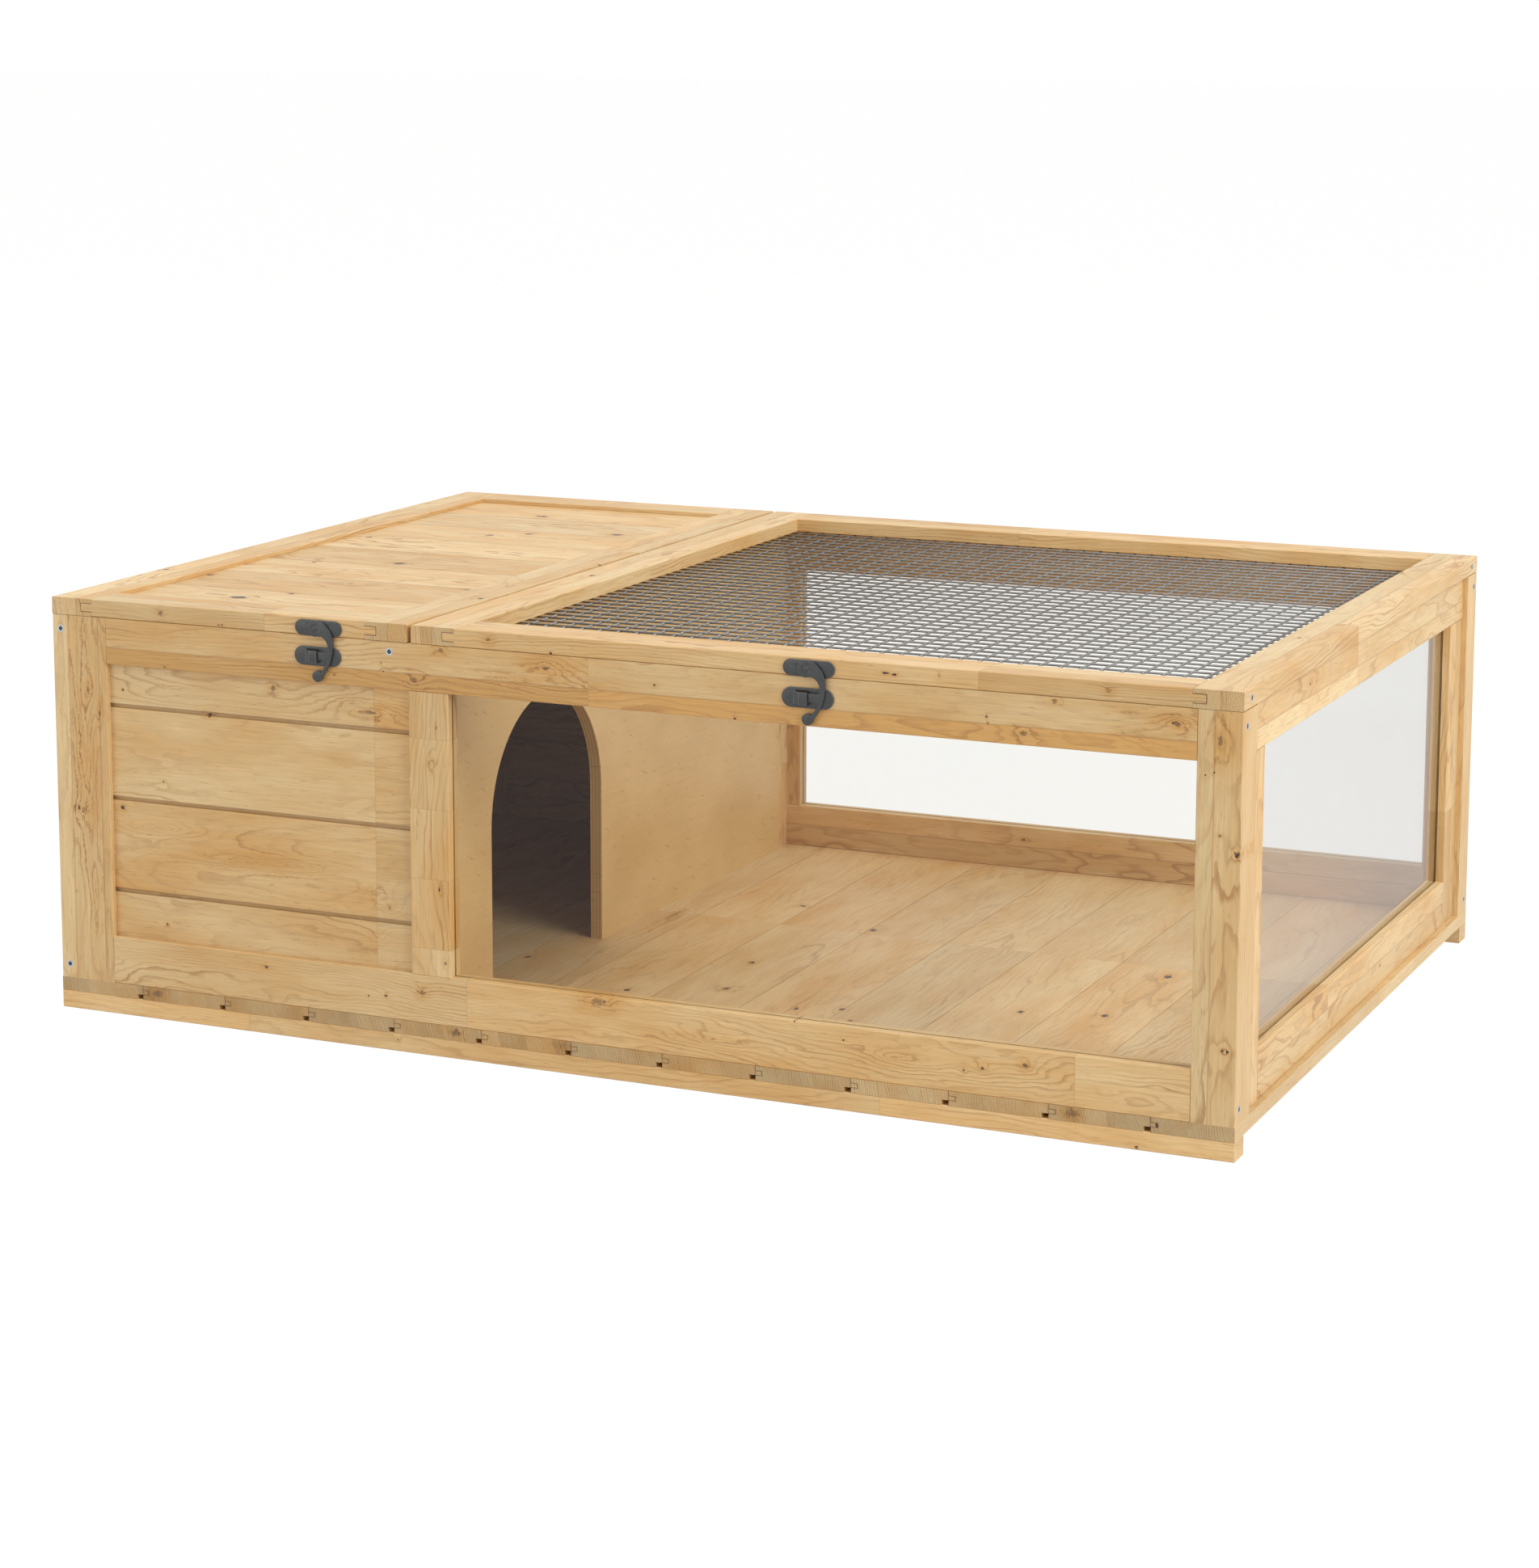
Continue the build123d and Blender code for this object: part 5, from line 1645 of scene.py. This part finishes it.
@dataclass(frozen=True)
class Partition:
    """The plywood panel with the doorway, between the house and the run."""

    finish: BirchPlywood = BirchPlywood()

    def dress(self) -> None:
        """Give the panel its plies, which lie across its thickness."""
        low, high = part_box("partition")
        material = self.finish.material((high.x - low.x) / MM, HOUSE.millimetres(low).x)
        give_material("partition", material)
        log.info("dressed the partition in plywood")


@dataclass(frozen=True)
class Hinges:
    """The hinges of a lid, whose CAD shapes are right."""

    lid: str
    parts: tuple[str, ...] = ("case_leaves", "lid_leaves", "pins")

    def dress(self, material: bpy.types.Material) -> None:
        """Give the leaves and the pins their plating."""
        for part in self.parts:
            give_material(f"{self.lid}_hinge_{part}", material)
        log.info("plated the hinges of the %s lid", self.lid)


@dataclass(frozen=True)
class Panes:
    """The clear panes of the run, whose CAD shapes are right."""

    walls: tuple[str, ...] = ("front", "back", "right")

    def dress(self, material: bpy.types.Material) -> None:
        """Give the panes their acrylic."""
        for wall in self.walls:
            give_material(f"{wall}_pane", material)
            log.info("glazed the %s wall", wall)


@dataclass(frozen=True)
class WirePanel:
    """The welded wire net of the mesh lid, in millimetres."""

    pitch: float = 15.2
    wire_radius: float = 0.85
    weld_sink: float = 0.3
    sides: int = 8

    def lay_wires(self, mesh: bmesh.types.BMesh, low: Vector, high: Vector, axis: int, height: float) -> int:
        """Lay the wires that run along one axis.

        Args:
            mesh: The net so far.
            low: The net's lowest corner in millimetres.
            high: Its highest corner.
            axis: 0 for wires along X and 1 for wires along Y.
            height: The Z of their middles.

        Returns:
            How many wires were laid.
        """
        other = 1 - axis
        span = high[other] - low[other] - 2 * self.wire_radius
        count = round(span / self.pitch)
        length = high[axis] - low[axis]
        turn = Matrix.Rotation(math.radians(90.0), 4, "Y" if axis == 0 else "X")
        spin = Matrix.Rotation(math.pi / self.sides, 4, "Z")
        for index in range(count + 1):
            middle = Vector((low.x + high.x, low.y + high.y, 0.0)) / 2
            middle[other] = low[other] + self.wire_radius + span * index / count
            middle.z = height
            bmesh.ops.create_cone(
                mesh, cap_ends=True, segments=self.sides, radius1=self.wire_radius * MM,
                radius2=self.wire_radius * MM, depth=length * MM,
                matrix=Matrix.Translation(HOUSE.point(*middle)) @ turn @ spin,
            )
        return count + 1

    def build(self, material: bpy.types.Material) -> None:
        """Build the net in the rebate that the CAD sheet fills.

        Args:
            material: The wires' finish.
        """
        low, high = (HOUSE.millimetres(corner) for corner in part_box("wire_net"))
        mesh = bmesh.new()
        top = high.z - self.wire_radius
        count = self.lay_wires(mesh, low, high, 0, top)
        count += self.lay_wires(mesh, low, high, 1, top - self.wire_radius + self.weld_sink)
        for face in mesh.faces:
            face.smooth = len(face.verts) == 4
        piece = finished_object(mesh, "welded_wire_net", material)
        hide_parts("wire_net")
        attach(piece, "mesh_lid")
        log.info("laid %d wires", count)


@dataclass(frozen=True)
class ScrewSeat:
    """Where a screw points down its own Z from a flush head, and its sizes, all in metres."""

    place: Matrix
    head: float
    shank: float
    length: float

    @classmethod
    def of_solid(cls, corners: list[Vector]) -> "ScrewSeat":
        """Measure a plain screw of the CAD.

        Args:
            corners: Its corner points.

        Returns:
            Its seat.
        """
        low = Vector([min(corner[axis] for corner in corners) for axis in range(3)])
        high = Vector([max(corner[axis] for corner in corners) for axis in range(3)])
        size = high - low
        axis = max(range(3), key=lambda number: size[number])
        middle = (low + high) / 2
        radii = {
            end: max(
                Vector([offset for number, offset in enumerate(corner - middle) if number != axis]).length
                for corner in corners if abs(corner[axis] - end) < SAME_PLACE
            )
            for end in (low[axis], high[axis])
        }
        face, tip = sorted(radii, key=lambda end: -radii[end])
        outward = Vector((0.0, 0.0, 0.0))
        outward[axis] = math.copysign(1.0, face - tip)
        middle[axis] = face
        turn = outward.to_track_quat("Z", "Y").to_matrix().to_4x4()
        return cls(Matrix.Translation(middle) @ turn, radii[face], radii[tip], abs(face - tip))


@dataclass(frozen=True)
class CrossScrews:
    """Countersunk screws with a cross recess, in the places of a CAD node's plain ones.

    Each share is one of the head's radius: how far the arms of the cross reach, half their
    width, the depth of the recess and the height of the head's cone. floor_share is how much
    smaller the recess is at its floor, and tip_share the tip's part of the shank's radius.
    """

    node: str
    body: str
    rim_sides: int = 20
    arm_share: float = 0.62
    arm_width_share: float = 0.14
    recess_share: float = 0.35
    cone_share: float = 0.6
    floor_share: float = 0.6
    tip_share: float = 0.1

    def plus(self, reach: float, half: float) -> list[tuple[float, float]]:
        """Work out the corners of a cross.

        Args:
            reach: How far its arms reach.
            half: Half their width.

        Returns:
            The corners in order.
        """
        arm = [(reach, -half), (reach, half), (half, half)]
        outline = []
        for quarter in range(4):
            sine, cosine = round(math.sin(quarter * math.pi / 2)), round(math.cos(quarter * math.pi / 2))
            outline += [(x * cosine - y * sine, x * sine + y * cosine) for x, y in arm]
        return outline

    def sink_cross(
        self, mesh: bmesh.types.BMesh, rim_edges: list[bmesh.types.BMEdge], head: float
    ) -> list[bmesh.types.BMVert]:
        """Close a head's face and stamp the cross into it.

        Args:
            mesh: The screws so far.
            rim_edges: The edges round the head's face.
            head: The head's radius in metres.

        Returns:
            The recess's corners.
        """
        outline = self.plus(head * self.arm_share, head * self.arm_width_share)
        cross = [mesh.verts.new((x, y, 0.0)) for x, y in outline]
        cross_edges = [mesh.edges.new((cross[index - 1], cross[index])) for index in range(len(cross))]
        made = bmesh.ops.triangle_fill(mesh, use_beauty=True, edges=rim_edges + cross_edges)
        inner = [
            face for face in made["geom"]
            if isinstance(face, bmesh.types.BMFace) and all(corner in cross for corner in face.verts)
        ]
        bmesh.ops.delete(mesh, geom=inner, context="FACES_ONLY")
        dropped = bmesh.ops.extrude_edge_only(mesh, edges=cross_edges)["geom"]
        floor = [part for part in dropped if isinstance(part, bmesh.types.BMVert)]
        bmesh.ops.translate(mesh, verts=floor, vec=(0.0, 0.0, -head * self.recess_share))
        bmesh.ops.scale(mesh, verts=floor, vec=(self.floor_share, self.floor_share, 1.0))
        floor_edges = [part for part in dropped if isinstance(part, bmesh.types.BMEdge)]
        recess = [part for part in dropped if isinstance(part, bmesh.types.BMFace)]
        recess += bmesh.ops.edgeloop_fill(mesh, edges=floor_edges)["faces"]
        # The crosses get the darker zinc: a painted shade in the recess
        for wall in recess:
            wall.material_index = 1
        return cross + floor

    def add_screw(self, mesh: bmesh.types.BMesh, seat: ScrewSeat) -> None:
        """Add one screw.

        Args:
            mesh: The screws so far.
            seat: Its place and sizes.
        """
        rim = bmesh.ops.create_circle(mesh, segments=self.rim_sides, radius=seat.head)["verts"]
        ring = list({edge for corner in rim for edge in corner.link_edges})
        corners = list(rim) + self.sink_cross(mesh, ring, seat.head)
        for radius, drop in (
            (seat.shank, self.cone_share * seat.head), (seat.shank, seat.length),
            (self.tip_share * seat.shank, seat.length),
        ):
            grown = bmesh.ops.extrude_edge_only(mesh, edges=ring)["geom"]
            fresh = [part for part in grown if isinstance(part, bmesh.types.BMVert)]
            for corner in fresh:
                flat = Vector((corner.co.x, corner.co.y)).normalized() * radius
                corner.co = (flat.x, flat.y, -drop)
            ring = [part for part in grown if isinstance(part, bmesh.types.BMEdge)]
            corners += fresh
        bmesh.ops.edgeloop_fill(mesh, edges=ring)
        bmesh.ops.transform(mesh, matrix=seat.place, verts=corners)

    def build(self, material: bpy.types.Material, recess: bpy.types.Material) -> None:
        """Build the screws where the CAD solids are and let them stand for the node.

        Args:
            material: The screws' finish.
            recess: The darker finish of their crosses, a painted shade.
        """
        source = merged_copy(self.node)
        solids = islands(source)
        source.free()
        mesh = bmesh.new()
        for corners in solids:
            self.add_screw(mesh, ScrewSeat.of_solid(corners))
        bmesh.ops.recalc_face_normals(mesh, faces=mesh.faces)
        piece = finished_object(mesh, f"{self.node}_cross_head", material, recess)
        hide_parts(self.node)
        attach(piece, self.body)
        log.info("drove %d screws for %s", len(solids), self.node)


@dataclass(frozen=True)
class SwingLatch:
    """A swing-hook latch: the plate and rivet on a lid, the hook, and the keeper on the case.

    easing is the rounding of its edges in millimetres. dome is the height of the rivet's head
    and shank_share the radius of its shank, both as shares of the head's radius.
    """

    lid: str
    easing: float = 0.45
    easing_steps: int = 2
    dome: float = 0.55
    dome_steps: int = 6
    shank_share: float = 0.62
    spin_steps: int = 24

    def ease_piece(
        self, node: str, material: bpy.types.Material, wear_and_highlight: bpy.types.Material
    ) -> bpy.types.Object:
        """Make a piece of a CAD node's exact shape with its sharp edges rounded over.

        Args:
            node: The CAD node that it stands for.
            material: Its finish.
            wear_and_highlight: The lighter finish of its rounded edges, a painted highlight.

        Returns:
            The piece.
        """
        mesh = merged_copy(node)
        sharp = [edge for edge in mesh.edges if edge.is_manifold and edge.calc_face_angle(0.0) > SHARP_EDGE]
        rounded = bmesh.ops.bevel(
            mesh, geom=sharp, offset=self.easing * MM, offset_type="OFFSET", segments=self.easing_steps,
            profile=0.5, affect="EDGES", clamp_overlap=True, material=-1,
        )["faces"]
        # Painted highlight: the rounded edges get the lighter, glossier enamel
        for face in rounded:
            face.material_index = 1
        for face in mesh.faces:
            face.smooth = True
        piece = finished_object(mesh, f"{node}_pressed", material, wear_and_highlight)
        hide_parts(node)
        return piece

    def build_rivet(self, material: bpy.types.Material) -> bpy.types.Object:
        """Spin the rivet with its domed head in the place of the CAD rivet.

        Args:
            material: Its finish.

        Returns:
            The rivet.
        """
        node = f"{self.lid}_latch_rivet"
        low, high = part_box(node)
        middle = (low + high) / 2
        radius = (high.x - low.x) / 2
        height = radius * self.dome
        shank = radius * self.shank_share
        foot = height - (high.y - low.y)
        mesh = bmesh.new()
        slopes = (math.radians(90.0 / self.dome_steps * step) for step in range(self.dome_steps + 1))
        profile = [
            mesh.verts.new((radius * math.sin(angle), 0.0, height * math.cos(angle))) for angle in slopes
        ]
        for across, height_there in ((shank, 0.0), (shank, foot), (0.0, foot)):
            profile.append(mesh.verts.new((across, 0.0, height_there)))
        edges = [mesh.edges.new(pair) for pair in zip(profile, profile[1:])]
        bmesh.ops.spin(
            mesh, geom=profile + edges, cent=(0.0, 0.0, 0.0), axis=(0.0, 0.0, 1.0), angle=2 * math.pi,
            steps=self.spin_steps, use_merge=True,
        )
        bmesh.ops.remove_doubles(mesh, verts=mesh.verts, dist=SAME_PLACE)
        turn = Matrix.Rotation(math.radians(90.0), 4, "X")
        place = Matrix.Translation((middle.x, low.y + height, middle.z))
        bmesh.ops.transform(mesh, matrix=place @ turn, verts=mesh.verts)
        bmesh.ops.recalc_face_normals(mesh, faces=mesh.faces)
        for face in mesh.faces:
            face.smooth = True
        piece = finished_object(mesh, f"{self.lid}_latch_domed_rivet", material)
        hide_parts(node)
        return piece

    def build(self, material: bpy.types.Material, wear_and_highlight: bpy.types.Material) -> None:
        """Build the latch's four pieces in enamel, with a painted highlight on their rounded edges.

        Args:
            material: The enamel.
            wear_and_highlight: The lighter enamel of the rounded edges, a painted highlight.
        """
        for part, body in (("plate", f"{self.lid}_lid"), ("hook", f"{self.lid}_hook"), ("keeper", "case")):
            piece = self.ease_piece(f"{self.lid}_latch_{part}", material, wear_and_highlight)
            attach(piece, body)
        rivet = self.build_rivet(material)
        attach(rivet, f"{self.lid}_lid")
        log.info("built the latch of the %s lid", self.lid)


def main() -> None:
    """Build the studio, dress the timber and make the metal parts."""
    logging.basicConfig(level=logging.INFO, format="%(name)s: %(message)s")
    Studio().build()
    for timber in (FrontWall(), RightWall(), LeftWall(), BackWall(), Inside(), BoardedLid(), MeshLid()):
        timber.dress()
    Partition().dress()
    zinc, recess_shade_zinc = BRIGHT_ZINC.material(), RECESS_SHADE_ZINC.material()
    for lid in ("roof", "mesh"):
        Hinges(lid).dress(zinc)
    Panes().dress(ClearAcrylic().material())
    for body in ("case", "roof_lid", "mesh_lid"):
        CrossScrews(f"{body}_screws", body).build(zinc, recess_shade_zinc)
    WirePanel().build(GALVANISED_WIRE.material())
    enamel, edge_highlight_enamel = LATCH_ENAMEL.material(), EDGE_HIGHLIGHT_ENAMEL.material()
    for lid in ("roof", "mesh"):
        SwingLatch(lid).build(enamel, edge_highlight_enamel)


if __name__ == "__main__":
    main()
